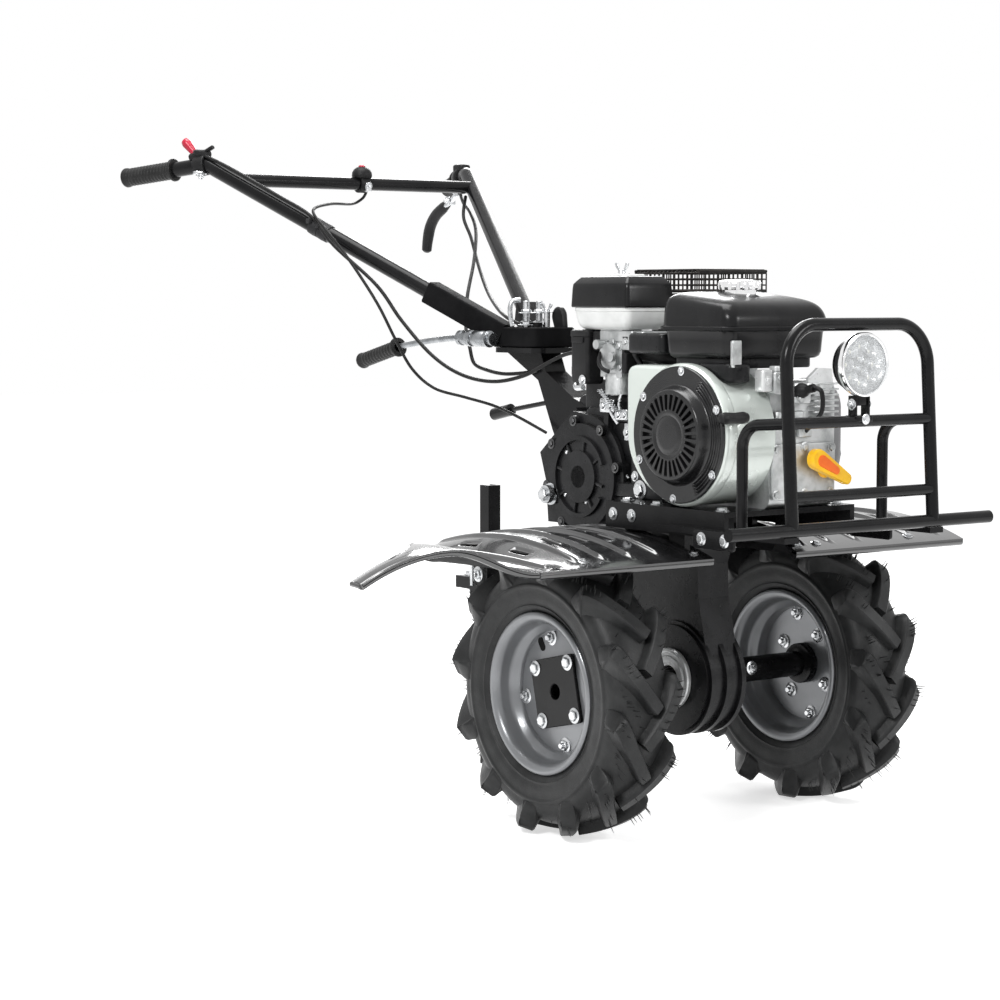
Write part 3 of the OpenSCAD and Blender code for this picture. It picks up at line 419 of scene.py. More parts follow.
def makePiece(name, parts, finish, replaces=None, sharp=35.0, body="chassis"):
    # one mesh of several surfaces, with its finish as its material
    starts = np.cumsum([0] + [len(points) for points, _ in parts])
    mesh = bpy.data.meshes.new(name)
    mesh.from_pydata(np.concatenate([points for points, _ in parts]), [],
                     np.concatenate([cells + start for (_, cells), start in zip(parts, starts)]))
    piece = bpy.data.objects.new(name, mesh)
    scene.collection.objects.link(piece)
    tidyMesh(mesh)
    mesh.shade_smooth()
    mesh.set_sharp_from_angle(angle=math.radians(sharp))
    mesh.materials.append(finishes[finish])
    if body:
        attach(piece, body)
    if replaces:
        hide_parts(replaces)
    return piece


def around(steps):
    # angles once round, without the last
    return np.linspace(0, 2 * np.pi, steps, endpoint=False)


def ease(t):
    # smooth step from 0 to 1
    t = np.clip(t, 0, 1)
    return t * t * (3 - 2 * t)


def band(t, low, high, soft):
    # 1 between two limits, easing to 0 at each over a soft width
    return ease((t - low) / soft) * ease((high - t) / soft)


def tube(path, radius, sides=12, up=(0.2, 0.1, 1.0), flat=1.0):
    # an ellipse carried along a path, square to it; the radius may change from point to point
    along = unit(np.gradient(path, axis=0))
    side = unit(np.cross(along, np.asarray(up, float)))
    rise = np.cross(side, along)
    angle = around(sides)[None, :, None]
    radius = np.broadcast_to(radius, len(path))[:, None, None]
    return path[:, None] + radius * (np.cos(angle) * side[:, None] + flat * np.sin(angle) * rise[:, None])


def smoothPath(points, perSpan=8):
    # a Catmull-Rom curve: each span blends its two ends and the two points beyond them
    p = np.asarray(points, float)
    ends = np.concatenate([p[:1], p, p[-1:]])
    t = np.linspace(0, 1, perSpan, endpoint=False)[None, :, None]
    a, b, c, d = (ends[k:len(ends) - 3 + k][:, None] for k in range(4))
    curve = 0.5 * (2 * b + (c - a) * t + (2 * a - 5 * b + 4 * c - d) * t ** 2 + (3 * b - a - 3 * c + d) * t ** 3)
    return np.concatenate([curve.reshape(-1, p.shape[1]), p[-1:]])


def wire(points, radius, sides=10, perSpan=8, up=(0.2, 0.1, 1.0), flat=1.0):
    # a rod on a smooth curve through points in millimetres; a changing radius is a row of shares and one of radii
    path = smoothPath(row(points), perSpan)
    if np.ndim(radius):
        radius = np.interp(np.linspace(0, 1, len(path)), *radius)
    return capped(tube(path, np.asarray(radius) / 1000, sides, up, flat))


def across(axis):
    # an axis and two directions square to it
    axis = unit(axis)
    helper = np.array([1.0, 0, 0]) if abs(axis[0]) < 0.8 else np.array([0, 0, 1.0])
    first = unit(np.cross(axis, helper))
    return axis, first, np.cross(axis, first)


def turned(profile, place, axis, sides=32, closed=False, turn=0.0):
    # each profile point, a radius and a height, swings round the axis through the place
    p = np.asarray(profile, float)
    axis, first, second = across(axis)
    angle = turn + around(sides)[:, None]
    ring = np.cos(angle) * first + np.sin(angle) * second
    points = np.asarray(place, float) + p[:, 1, None, None] * axis + p[:, 0, None, None] * ring[None]
    return surface(row(points), wrapU=closed, wrapV=True)


def ringPlaces(middle, radius, y, angle):
    # places on a circle, or an outline of changing radius, in a plane square to y
    x, z = middle
    return np.column_stack([x + radius * np.cos(angle), np.full(len(angle), y), z + radius * np.sin(angle)])


def roundRing(halfA, halfB, corner, perCorner=6):
    # four quarter circles of one radius, joined by straight sides
    angle = np.arange(4)[:, None] * np.pi / 2 + np.linspace(0, np.pi / 2, perCorner)[None]
    signA, signB = np.array([1, -1, -1, 1])[:, None], np.array([1, 1, -1, -1])[:, None]
    a = signA * (halfA - corner) + corner * np.cos(angle)
    b = signB * (halfB - corner) + corner * np.sin(angle)
    return np.stack([a, b], -1).reshape(-1, 2)


def softBox(low, high, edge=3.0, corner=5.0, along=2):
    # rounded rectangles stacked along one axis, drawn in by a quarter circle at both ends
    low, high = np.asarray(low, float), np.asarray(high, float)
    mid, half = (low + high) / 2, (high - low) / 2
    a, b = [k for k in range(3) if k != along]
    quarter = np.linspace(0, np.pi / 2, 5)
    inset = np.concatenate([edge * (1 - np.sin(quarter)), edge * (1 - np.sin(quarter[::-1]))])
    lift = np.concatenate([edge * (1 - np.cos(quarter)), 2 * half[along] - edge * (1 - np.cos(quarter[::-1]))])
    rings = np.stack([roundRing(half[a] - s, half[b] - s, max(corner - s, 0.3)) for s in inset])
    points = np.zeros(rings.shape[:2] + (3,))
    points[..., a], points[..., b] = rings[..., 0] + mid[a], rings[..., 1] + mid[b]
    points[..., along] = (lift + low[along])[:, None]
    return capped(row(points))


def stackedBox(low, high, levels, corner):
    # rounded rectangles stacked upwards; each level is a height share and an inset
    low, high = np.asarray(low, float), np.asarray(high, float)
    mid, half = (low + high) / 2, (high - low) / 2
    rings = []
    for share, inset in levels:
        flat = roundRing(half[0] - inset, half[1] - inset, max(corner - 0.4 * inset, 2)) + mid[:2]
        rings.append(np.column_stack([flat, np.full(len(flat), low[2] + share * (high[2] - low[2]))]))
    return capped(row(np.array(rings)))


def plate(outline, axis, low, high, edge=1.0):
    # a flat outline made thick along one axis, its rims drawn in a little towards the middle
    flat = np.asarray(outline, float)
    mid = flat.mean(0)
    inner = mid + (flat - mid) * (1 - edge / np.linalg.norm(flat - mid, axis=1, keepdims=True))
    levels = [(inner, low), (flat, low + edge), (flat, high - edge), (inner, high)]
    return capped(row(np.stack([np.insert(shape, axis, height, axis=1) for shape, height in levels])))


def teardrop(big, small, bigRadius, smallRadius, count=14):
    # an arc round the big end and an arc round the small end, joined by straight sides
    big, small = np.asarray(big, float), np.asarray(small, float)
    lean = math.atan2(*(small - big)[::-1])
    wide = np.linspace(np.pi / 2, 3 * np.pi / 2, count) + lean
    narrow = np.linspace(-np.pi / 2, np.pi / 2, count) + lean
    return np.concatenate([big + bigRadius * np.column_stack([np.cos(wide), np.sin(wide)]),
                           small + smallRadius * np.column_stack([np.cos(narrow), np.sin(narrow)])])


def arcBand(centre, inner, outer, low, high, start, end, steps=60):
    # a flat band bent round a centre in the plane of the side, with thickness along y
    angle = np.radians(np.linspace(start, end, steps))
    corners = [(inner, low), (outer, low), (outer, high), (inner, high)]
    return capped(row(np.stack([ringPlaces(centre, r, y, angle) for r, y in corners], 1)))


def hexBolt(place, axis, size, washer=True):
    # a six-sided head with a drawn-in top on a round washer; size is half the head's width
    head = size * np.array([(0, 0), (1.12, 0), (1.12, 0.62), (0.92, 0.78), (0, 0.8)])
    disc = size * np.array([(0, 0), (1.6, 0), (1.6, 0.14), (1.5, 0.2), (0, 0.2)])
    return [turned(head, place, axis, 6, turn=0.3)] + [turned(disc, place, axis, 24)] * washer


def studBolt(place, axis, size):
    # a nut on a washer with a round thread end standing out of it
    end = size * np.array([(0, 0), (0.62, 0), (0.62, 1.25), (0.5, 1.4), (0, 1.4)])
    return hexBolt(place, axis, size) + [turned(end, place, axis, 16)]


def domeScrew(place, axis, size):
    # a quarter ellipse swung into a low dome
    angle = np.linspace(0, np.pi / 2, 6)
    dome = np.column_stack([np.cos(angle), 0.55 * np.sin(angle)])
    return [turned(size * np.concatenate([[(0, 0)], dome]), place, axis, 20)]


def wingNut(place, axis, size):
    # a round foot with two flat ears that lean outwards, on an upright axis
    foot = [(0, 0), (size * 1.5, 0), (size * 1.5, 1.2), (size * 0.8, 1.6), (size * 0.62, size * 0.9), (0, size)]
    parts = [turned(foot, place, axis, 24)]
    for sign in (-1, 1):
        ear = [(sign * 0.4, 0, 0.5), (sign, 0, 1.1), (sign * 1.5, 0, 1.8), (sign * 1.7, 0, 2.2)]
        parts.append(wire(place + size * np.array(ear), ([0, 0.6, 0.9, 1], [2.0, 3.6, 3.2, 1.2]), 12, 8, toLeft, 0.45))
    return parts


simpleForms = {"boxes": softBox, "stacks": stackedBox, "plates": plate, "turned": turned, "wires": wire,
               "arcs": arcBand}
fasteners = {"bolts": hexBolt, "studs": studBolt, "domes": domeScrew, "wings": wingNut}


def fittings(s, at=noShift):
    # a piece's simple forms, each by its maker's measures, and its fasteners by axis, size and places, all shifted
    parts = [simpleForms[key](*measures) for key in simpleForms for measures in s.get(key, ())]
    for key, maker in fasteners.items():
        for axis, size, places in s.get(key, ()):
            for place in places:
                parts += maker(place, axis, size)
    return [(points + np.asarray(at) / 1000, cells) for points, cells in parts]


# Control cables, along the same routes as their solids

cables = {
    "throttle_cable": {"diameter": 6.0, "route": [
        (-960, -286, 1020), (-895, -262, 993), (-800, -218, 941), (-740, -193, 907), (-690, -180, 858),
        (-608, -150, 792), (-558, -135, 735), (-487, -125, 680), (-420, -115, 650), (-355, -100, 640),
        (-295, -85, 650), (-245, -78, 670), (-205, -75, 684), (-168, -75, 690)]},
    "switch_wire": {"diameter": 5.0, "route": [
        (-895, 20, 956), (-893, 10, 945), (-880, -20, 935), (-795, -120, 930), (-745, -185, 916),
        (-700, -189, 884), (-665, -180, 850), (-625, -170, 806), (-590, -157, 757), (-563, -141, 700),
        (-545, -122, 655), (-515, -100, 625), (-460, -80, 612), (-410, -60, 600), (-365, -48, 585),
        (-300, -36, 560)]},
    "clutch_cable": {"diameter": 6.0, "route": [
        (-975, 279.4, 968), (-932, 258, 944), (-870, 228, 925), (-800, 190, 890), (-695, 110, 835),
        (-590, 20, 772), (-535, -22, 720), (-505, -36, 690), (-480, -45, 665), (-440, -48, 655),
        (-400, -44, 650), (-365, -32, 652), (-340, -23.4, 656)]},
    "swivel_cable": {"diameter": 6.0, "route": [
        (-897, 237.5, 954.5), (-868, 212, 916), (-820, 194, 878), (-740, 152, 828), (-640, 98, 783),
        (-540, 45, 755), (-470, 12, 740), (-432, 7, 730), (-400, 4, 727.8)]},
}


def makeCable(name, spec):
    # a round sheath along a smooth curve through the route
    path = smoothPath(row(spec["route"]))
    radius = spec["diameter"] / 2000
    sheath = [capped(tube(path, radius, 12, (0.1, 1.0, 0.2)))]
    piece = makePiece(name + "_sheath", sheath, "sheathBlack", name, body=None)
    if name == "swivel_cable":
        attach(piece, "handlebar")
    else:
        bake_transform(piece)


for cableName, cableSpec in cables.items():
    makeCable(cableName, cableSpec)
print("stage: control cables")

# Wheels; a place on a wheel is a radius, a distance outwards from its middle and an angle round the axle

wheels = {"right": -1, "left": 1}
wheelHeight, wheelReach = 207.0, 234.0

tyreShape = {
    "wall": [(105.3, 40.7), (112, 41.2), (117, 41.6), (121, 44.5), (125, 47.6), (127, 49.4), (129, 48.2), (138, 50.2),
             (150, 51.4), (154, 52.6), (157, 52.4), (160, 51.0), (170, 49.4), (180, 43), (187, 32), (190.5, 20),
             (191.8, 8), (192, 0)],
    "steps": 168, "lugs": 12, "lag": 24.0,
    "station": [-0.03, 0.0, 0.22, 0.5, 0.74, 0.86, 1.0, 1.04],
    "topY": [-8, -6, 14, 36, 51.5, 54, 53, 52], "topR": [207, 207, 206.6, 204.5, 199.5, 186, 166, 161],
    "rootY": [-8, -6, 12, 32, 40, 45, 46, 46], "rootR": [188, 188, 187, 182, 172, 168, 160, 157],
    "turnShare": [-0.03, 0, 0.30, 0.66, 0.98, 1.05, 1.10, 1.11], "width": [15, 20, 21, 23, 27, 28, 25, 16],
    "section": [(-0.66, -0.25), (-0.6, 0.1), (-0.5, 0.6), (-0.46, 0.9), (-0.38, 1.0), (0.38, 1.0), (0.46, 0.9),
                (0.5, 0.6), (0.6, 0.1), (0.66, -0.25)],
    "hairRadius": 1.0, "hairTaper": (1.0, 0.7, 0.35), "hairFoot": 14.0, "hairSink": 2.0, "hairSpread": 0.035,
    "hairLean": (1.05, 0.01), "hairShares": ((0.5, 0.76), (0.05, 0.85)),
    "hairRows": [{"seed": 11, "y": "topY", "r": "topR", "count": 9, "length": 15.0, "shift": 0.0},
                 {"seed": 31, "y": "rootY", "r": "rootR", "count": 7, "length": 24.0, "shift": 0.5}],
}


def wheelPoint(side, radius, outward, angle):
    radius, outward, angle = np.broadcast_arrays(*(np.asarray(v, float) for v in (radius, outward, angle)))
    return np.stack([radius * np.cos(angle), side * (wheelReach + outward), wheelHeight + radius * np.sin(angle)], -1)


def wheelRing(side, profile, steps):
    # the profile of radius and outward distance swings round the axle
    p = np.asarray(profile, float)
    return surface(row(wheelPoint(side, p[:, :1], p[:, 1:], around(steps)[None])), wrapU=True, wrapV=True)


def tyreLug(side, shape, base, outward):
    # a rounded section carried from the tread's middle over the shoulder, leaning back round the wheel
    keys = ("topY", "topR", "rootY", "rootR", "turnShare", "width")
    topY, topR, rootY, rootR, turn, width = smoothPath(np.stack([shape[key] for key in keys], 1), 4).T
    angle = base + np.radians(shape["lag"]) * turn
    top, root = wheelPoint(side, topR, outward * topY, angle), wheelPoint(side, rootR, outward * rootY, angle)
    sideways = unit(np.cross(np.gradient((top + root) / 2, axis=0), unit(top - root)))
    section = np.asarray(shape["section"], float)
    points = root[:, None] + section[None, :, 1:] * (top - root)[:, None]
    return capped(row(points + section[None, :, :1] * (width[:, None] * sideways)[:, None]))


def tyreHairs(side, shape, hairs):
    # thin tapering spikes left by the mould, standing off the lugs and the shoulders
    draw = np.random.default_rng(hairs["seed"] + side)
    count = hairs["count"] * 2 * shape["lugs"]
    near, whole = shape["hairShares"]
    share = np.where(draw.random(count) < 0.5, draw.uniform(*near, count), draw.uniform(*whole, count))
    outward = draw.choice([-1.0, 1.0], count)
    lugIndex = draw.integers(0, shape["lugs"], count) + np.where(outward > 0, 0.0, 0.5) + hairs["shift"]
    y, r, turn = (np.interp(share, shape["station"], shape[key]) for key in (hairs["y"], hairs["r"], "turnShare"))
    angle = 2 * np.pi * lugIndex / shape["lugs"] + np.radians(shape["lag"]) * turn
    angle = angle + draw.uniform(-shape["hairSpread"], shape["hairSpread"], count)
    foot = wheelPoint(side, r - shape["hairSink"], outward * y, angle)
    lean, twist = shape["hairLean"]
    tip = wheelPoint(side, r + hairs["length"] * draw.uniform(0.5, 1, count), outward * (y * lean), angle + twist)
    keep = (tip[:, 2] > shape["hairFoot"]) & (foot[:, 2] > shape["hairFoot"])
    angle = around(4)[:, None]
    parts = []
    for low, high in zip(foot[keep], tip[keep]):
        _, first, second = across(high - low)
        ring = shape["hairRadius"] * (np.cos(angle) * first + np.sin(angle) * second)
        middles = (low, (low + high) / 2, high)
        parts.append(capped(row(np.stack([mid + size * ring for mid, size in zip(middles, shape["hairTaper"])]))))
    return parts


def makeTyre(sideName, side, shape):
    # half a wall curve mirrored and swung round the axle, with lugs in two rows and hairs
    half = smoothPath(shape["wall"], 3)
    parts = [wheelRing(side, np.concatenate([half, (half * (1, -1))[::-1][1:]]), shape["steps"])]
    for base in around(shape["lugs"]):
        parts += [tyreLug(side, shape, base, 1), tyreLug(side, shape, base + np.pi / shape["lugs"], -1)]
    for hairs in shape["hairRows"]:
        parts += tyreHairs(side, shape, hairs)
    makePiece("tyre_" + sideName + "_rubber", parts, "tyreRubber", "tyre_" + sideName, 38, "wheelset")


rimShape = {
    "shell": [(117, 41.8), (117.2, 45), (115.5, 47), (112, 47.6), (108.5, 46.4), (104, 42), (101.5, 36), (100.6, 25),
              (97, 19), (89, 14.5), (87.2, 10)],
    "back": [(91, 11), (92, 15), (99.5, 20.5), (103.2, 26), (104.2, 36), (105.2, 40.4), (109, 41.8)],
    "disc": [(88, 3.6), (84, 4.2), (79, 5), (62, 5), (52, 6.4), (24, 6.4), (24, 10.4), (52, 10.4), (62, 9), (79, 9),
             (84, 8.2), (88, 7.6)],
    "steps": 112, "boltHalf": 7.2, "quarters": [0, 90, 180, 270],
    "boltRings": [{"ring": 78.0, "turn": 12.0, "out": 9.0, "in": 5.0, "maker": studBolt},
                  {"ring": 54.0, "turn": 58.0, "out": 16.0, "in": 6.0, "maker": hexBolt}],
    "valve": {"low": 71.0, "high": 80.0, "half": 6.0, "turn": 122.0, "levels": (8.0, 9.5)},
}


def makeRim(sideName, side, shape):
    # a rolled lip, a stepped barrel and a pressed disc, each a closed profile swung round the axle
    shell, back = np.array(shape["shell"]), np.array(shape["back"])
    loop = np.concatenate([shell, (shell * (1, -1))[::-1], (back * (1, -1))[::-1], back])
    parts = [wheelRing(side, profile, shape["steps"]) for profile in (loop, shape["disc"])]
    makePiece("rim_" + sideName + "_steel", parts, "rimPaint", "rim_" + sideName, 40, "wheelset")
    outAxis, half = np.array([0, side, 0.0]), shape["boltHalf"]
    bolts = []
    for spec in shape["boltRings"]:
        for angle in np.radians(spec["turn"] + np.array(shape["quarters"])):
            bolts += spec["maker"](wheelPoint(side, spec["ring"], spec["out"], angle), outAxis, half)
            bolts += studBolt(wheelPoint(side, spec["ring"], spec["in"], angle), -outAxis, half)
    makePiece("wheel_bolts_" + sideName, bolts, "zinc", body="wheelset")
    # the valve hole is a dark plug of painted shade in the disc
    valve = shape["valve"]
    ends = teardrop((valve["low"], 0), (valve["high"], 0), valve["half"], valve["half"])
    reach, turn = np.linalg.norm(ends, axis=1), np.arctan2(ends[:, 1], ends[:, 0]) + math.radians(valve["turn"])
    slot = np.stack([wheelPoint(side, reach, y, turn) for y in valve["levels"]])
    makePiece("valve_slot_shade_" + sideName, [capped(row(slot))], "paintedHoleShade", body="wheelset")


for wheelName, wheelSide in wheels.items():
    makeTyre(wheelName, wheelSide, tyreShape)
    makeRim(wheelName, wheelSide, rimShape)
print("stage: wheels")

# Recoil starter and fan housing

recoilShape = {"middle": (132, -130, 578), "rings": [(0.4, 34, 12), (35, 59, 17), (60, 73, 14), (73.5, 95, 44)],
               "lip": [(96.4, 4.8), (97, 3.8), (97, 0)], "steps": 420, "flange": 5.0, "dome": 23.0, "crown": 2.2,
               "wall": (63.0, 72.0), "slots": 30, "slotRing": (36.0, 58.0), "slotSoft": 2.2, "slotDepth": 7.0,
               "slotWave": (0.42, 0.16), "bossRing": (24, 30), "bossSoft": 1.6, "bossDepth": 1.4,
               "groove": (74.5, 92.9, 4.6, 1.3), "grooveSoft": (4, 0.8), "grooveArc": (-65, 60), "screwRing": 91.0,
               "screwHalf": 4.2, "screws": [85, 25, -35, -95, -155, 145]}
housingShape = {"middle": (132, 578), "round": 100.0, "back": 138.0, "top": 97.0, "front": -116.0, "rear": -40.0,
                "edge": 9.0, "edgeTurns": (0.3, np.pi / 2, 6), "square": 16, "steps": 240, "wall": 3.0, "lip": 4.0,
                "seat": 88.0,
                "collar": [(90, 112), (100.5, 112), (101.5, 114), (101.5, 124), (100.6, 128), (98, 130.5), (90, 130.5)]}


def housingReach(s, angle):
    # distance from the crank to the outline: a circle in front, a square corner behind on top, easing back below
    turn = np.degrees(angle) % 360
    power = s["square"]
    over, behind = np.abs(np.sin(angle)) / s["top"], np.abs(np.cos(angle)) / s["back"]
    corner = (over ** power + behind ** power) ** (-1 / power)
    front = s["round"] + (s["top"] - s["round"]) * ease(turn / 90)
    below = s["back"] + (s["round"] - s["back"]) * ease((turn - 180) / 90)
    return np.where(turn <= 90, front, np.where(turn <= 180, corner, np.where(turn <= 270, below, s["round"])))


def makeHousing(s):
    # the outline carried from the rear to the front, drawn in round the front edge and on to the starter's ring
    angle = around(s["steps"])
    reach, e, front = housingReach(s, angle), s["edge"], s["front"]
    levels = [(s["wall"], front + s["lip"]), (s["wall"], s["rear"]), (0, s["rear"]), (0, front + e)]
    levels += [(e * (1 - math.cos(a)), front + e * (1 - math.sin(a))) for a in np.linspace(*s["edgeTurns"])]
    rows = [(reach - inset, y) for inset, y in levels] + [(s["seat"], front), (s["seat"], front + s["lip"])]
    points = np.stack([ringPlaces(s["middle"], r, y, angle) for r, y in rows])
    collar = turned(s["collar"], (s["middle"][0], 0, s["middle"][1]), toRight, 120, True)
    makePiece("fan_housing", [surface(row(points), True, True), collar], "shroudPaint", "fan_shroud", 34)


def makeRecoil(s):
    # a height over the disc: flange, sloping wall and dome, with radial slots and arc grooves cut down into it
    lip = np.array(s["lip"], float)
    ring = np.concatenate([np.linspace(*span) for span in s["rings"]] + [lip[:, 0]])
    rho, theta = np.meshgrid(ring, around(s["steps"]), indexing="ij")
    inner, outer = s["wall"]
    rise = ease((outer - rho) / (outer - inner))
    crown = s["crown"] * (1 - np.clip(rho / inner, 0, 1) ** 2)
    height = s["flange"] + (s["dome"] - s["crown"] - s["flange"]) * rise + crown
    wave, (waveLow, waveRun) = np.cos(s["slots"] * theta) * 0.5 + 0.5, s["slotWave"]
    height = height - s["slotDepth"] * band(rho, *s["slotRing"], s["slotSoft"]) * ease((wave - waveLow) / waveRun)
    height = height - s["bossDepth"] * band(rho, *s["bossRing"], s["bossSoft"])
    degrees = (np.degrees(theta) + 180) % 360 - 180
    first, last, pitch, deep = s["groove"]
    inGroove = band(degrees, *s["grooveArc"], s["grooveSoft"][0]) * band(rho, first, last, s["grooveSoft"][1])
    height = height - deep * inGroove * (1 - np.cos(2 * np.pi * (rho - first) / pitch))
    height[-len(lip):] = lip[:, 1:]
    x, y, z = s["middle"]
    points = np.stack([x + rho * np.cos(theta), y - height, z + rho * np.sin(theta)], -1)
    makePiece("recoil_cover", [capped(row(points))], "starterBlack", "recoil_starter", 30)
    places = ringPlaces((x, z), s["screwRing"], y - s["flange"], np.radians(s["screws"]))
    makePiece("recoil_screws", fittings({"bolts": [(toRight, s["screwHalf"], places)]}), "zinc")


makeHousing(housingShape)
makeRecoil(recoilShape)
print("stage: recoil starter")

# Fuel tank and cap

tankShape = {"low": (58, -115), "high": (218, 87), "corner": 20.0, "slope": 18.0, "slopeStart": 732.0,
             "slopeRun": 40.0, "straight": 12,
             "levels": [(685, 22), (686, 15), (689, 11), (695, 9), (710, 8), (722, 7), (724, 6), (725, 1.2), (726, 0),
                        (730, 0), (731, 1.2), (732, 3.4), (738, 3.6), (750, 4.2), (760, 5.4), (767, 7.4), (772, 10.6),
                        (776, 16), (779, 25), (781, 40), (782, 58)]}
capShape = {"seat": (125.2, -14.0, 782.0), "steps": 192, "notches": 16, "notchDepth": 0.05, "notchFrom": 0.2,
            "rim": (29, 1),
            "profile": [(24, -6), (24, 0), (30, 0.6), (31, 2.5), (31, 10), (30, 12.4), (27, 14), (18, 15.2), (0, 15.8)]}


def makeTank(s):
    # rounded rectangles stacked by height and inset; the upper ones tip down towards the front
    low, high, levels = np.array(s["low"], float), np.array(s["high"], float), np.array(s["levels"], float)
    mid, half = (low + high) / 2, (high - low) / 2
    rings = []
    for level, inset in np.concatenate([levels[:s["straight"]], smoothPath(levels[s["straight"]:], 3)]):
        flat = roundRing(*(half - inset), max(s["corner"] - 0.3 * inset, 8), 9)
        share = np.clip((flat[:, 0] + half[0]) / (2 * half[0]), 0, 1)
        drop = s["slope"] * share ** 2 * ease((level - s["slopeStart"]) / s["slopeRun"])
        rings.append(np.column_stack([flat + mid, level - drop]))
    makePiece("fuel_tank_shell", [capped(row(np.array(rings)))], "tankGloss", "fuel_tank", 40)


def makeCap(s):
    # a ring whose radius swells and dips round the rim, with a domed top over it
    x, y, z = s["seat"]
    radius, height = np.array(s["profile"], float).T[:, :, None]
    angle = around(s["steps"])[None]
    inRim = (radius > s["rim"][0]) & (height > s["rim"][1])
    radius = radius * (1 - s["notchDepth"] * (np.cos(s["notches"] * angle) > s["notchFrom"]) * inRim)
    points = np.stack([x + radius * np.cos(angle), y + radius * np.sin(angle), z + height + 0 * radius], -1)
    makePiece("fuel_cap_metal", [capped(row(points))], "chrome", "fuel_cap", 30)


makeTank(tankShape)
makeCap(capShape)
print("stage: fuel tank")

# Air cleaner with its wing nut, carburettor and choke box

cleanerShape = {
    "cover": {"stacks": [((-157, -102, 757), (-21, -10, 803), [
        (0, 3), (0.0, 1), (0.04, 0), (0.1, 0.2), (0.6, 1.4), (0.74, 2.2), (0.79, 3.6), (0.96, 11), (0.99, 13),
        (1, 16)], 7)]},
    "base": {"stacks": [((-155, -100, 724), (-23, -12, 757), [
        (0, 14), (0.05, 11), (0.16, 7), (0.34, 4.4), (0.7, 2.2), (0.8, 1.8), (0.84, 0.6), (0.99, 0.6), (1, 1.5)], 12)]},
    "lid": {"stacks": [((-123, -78, 802), (-55, -34, 806.2), [(0, 0), (0.6, 0), (1, 1.4)], 10)]},
    "nut": {"wings": [(toTop, 8.0, [(-89, -56, 806)])]},
}
makePiece("cleaner_cover_shell", fittings(cleanerShape["cover"]), "tankGloss", "air_cleaner_cover", 28)
makePiece("cleaner_base_shell", fittings(cleanerShape["base"]), "cleanerPale", "air_cleaner_base", 30)
makePiece("cleaner_lid_plate", fittings(cleanerShape["lid"]), "cleanerPale")
makePiece("cleaner_wing_nut", fittings(cleanerShape["nut"]), "zinc")

carbShape = {
    "silver": {
        "boxes": [((-106, -86, 706), (-28, -44, 723), 2.5, 4), ((-100, -88, 692), (-62, -60, 700), 2, 4),
                  ((-24, -84, 690), (-6, -30, 722), 2.5, 5), ((-54, -86, 694), (-34, -70, 716), 2, 4)],
        "turned": [([(0, 0), (17, 0), (18, 3), (18, 16), (15, 24), (6, 27), (0, 27)], (-79, -65, 655), toGround, 28),
                   ([(0, 0), (5, 0), (5, 9), (7, 9), (7, 13), (4, 14), (0, 14)], (-66, -84, 684), toRight, 18)],
        "bolts": [(toRight, 4.6, [(-98, -84.2, 668), (-74, -84.2, 706), (-58, -84.2, 668), (-60, -84.2, 700),
                                  (-15, -84, 714), (-15, -84, 698)]), (toRight, 4.2, [(-44, -86, 706)])]},
    "dark": {
        "boxes": [((-121, -88, 692), (-102, -48, 722), 4, 6), ((-52, -88, 660), (-40, -64, 690), 2, 4),
                  ((-96, -91, 674), (-82, -86, 686), 1.5, 3)],
        "wires": [([(-62, -65, 690), (-40, -62, 694), (-6, -52, 690), (30, -36, 676)], 15, 20),
                  ([(-96, -90, 690), (-92, -97, 678), (-84, -99, 668), (-70, -96, 662)], 3.2),
                  ([(-30, -80, 690), (-18, -74, 668), (-12, -64, 640), (-14, -58, 600)], 4.2)]},
}
chokeShape = {
    "box": {
        "stacks": [((-165, -94, 642), (-123, -60, 724), [(0, 3), (0.02, 1.2), (0.06, 0), (0.86, 0), (0.87, -1.6),
                                                         (0.96, -1.6), (0.98, -0.6), (1, 3)], 6)],
        "boxes": [((-168, -90, 655), (-164, -66, 668), 1, 2), ((-160, -97, 704), (-132, -93, 712), 1.2, 2)]},
    "lever": {"wires": [([(-150, -95, 640), (-142, -98, 636), (-128, -98, 637)], 4.6, 12)],
              "bolts": [(toRight, 5, [(-134, -95, 648)])]},
}
makePiece("carburettor_fittings", fittings(carbShape["silver"]), "alloyCast", sharp=32)
makePiece("carburettor_levers", fittings(carbShape["dark"]), "plasticBlack", sharp=32)
makePiece("choke_box_shell", fittings(chokeShape["box"]), "plasticBlack", "choke_box", 30)
makePiece("choke_lever", fittings(chokeShape["lever"]), "zinc")
print("stage: air cleaner and carburettor")

# Wire cage over the muffler

cageShape = {"low": (-140, 10, 778), "high": (10, 146, 814), "pitch": 9.4, "wire": 1.15, "frame": 2.4, "bend": 5.0,
             "hoops": 4, "corner": 4, "drop": 2}


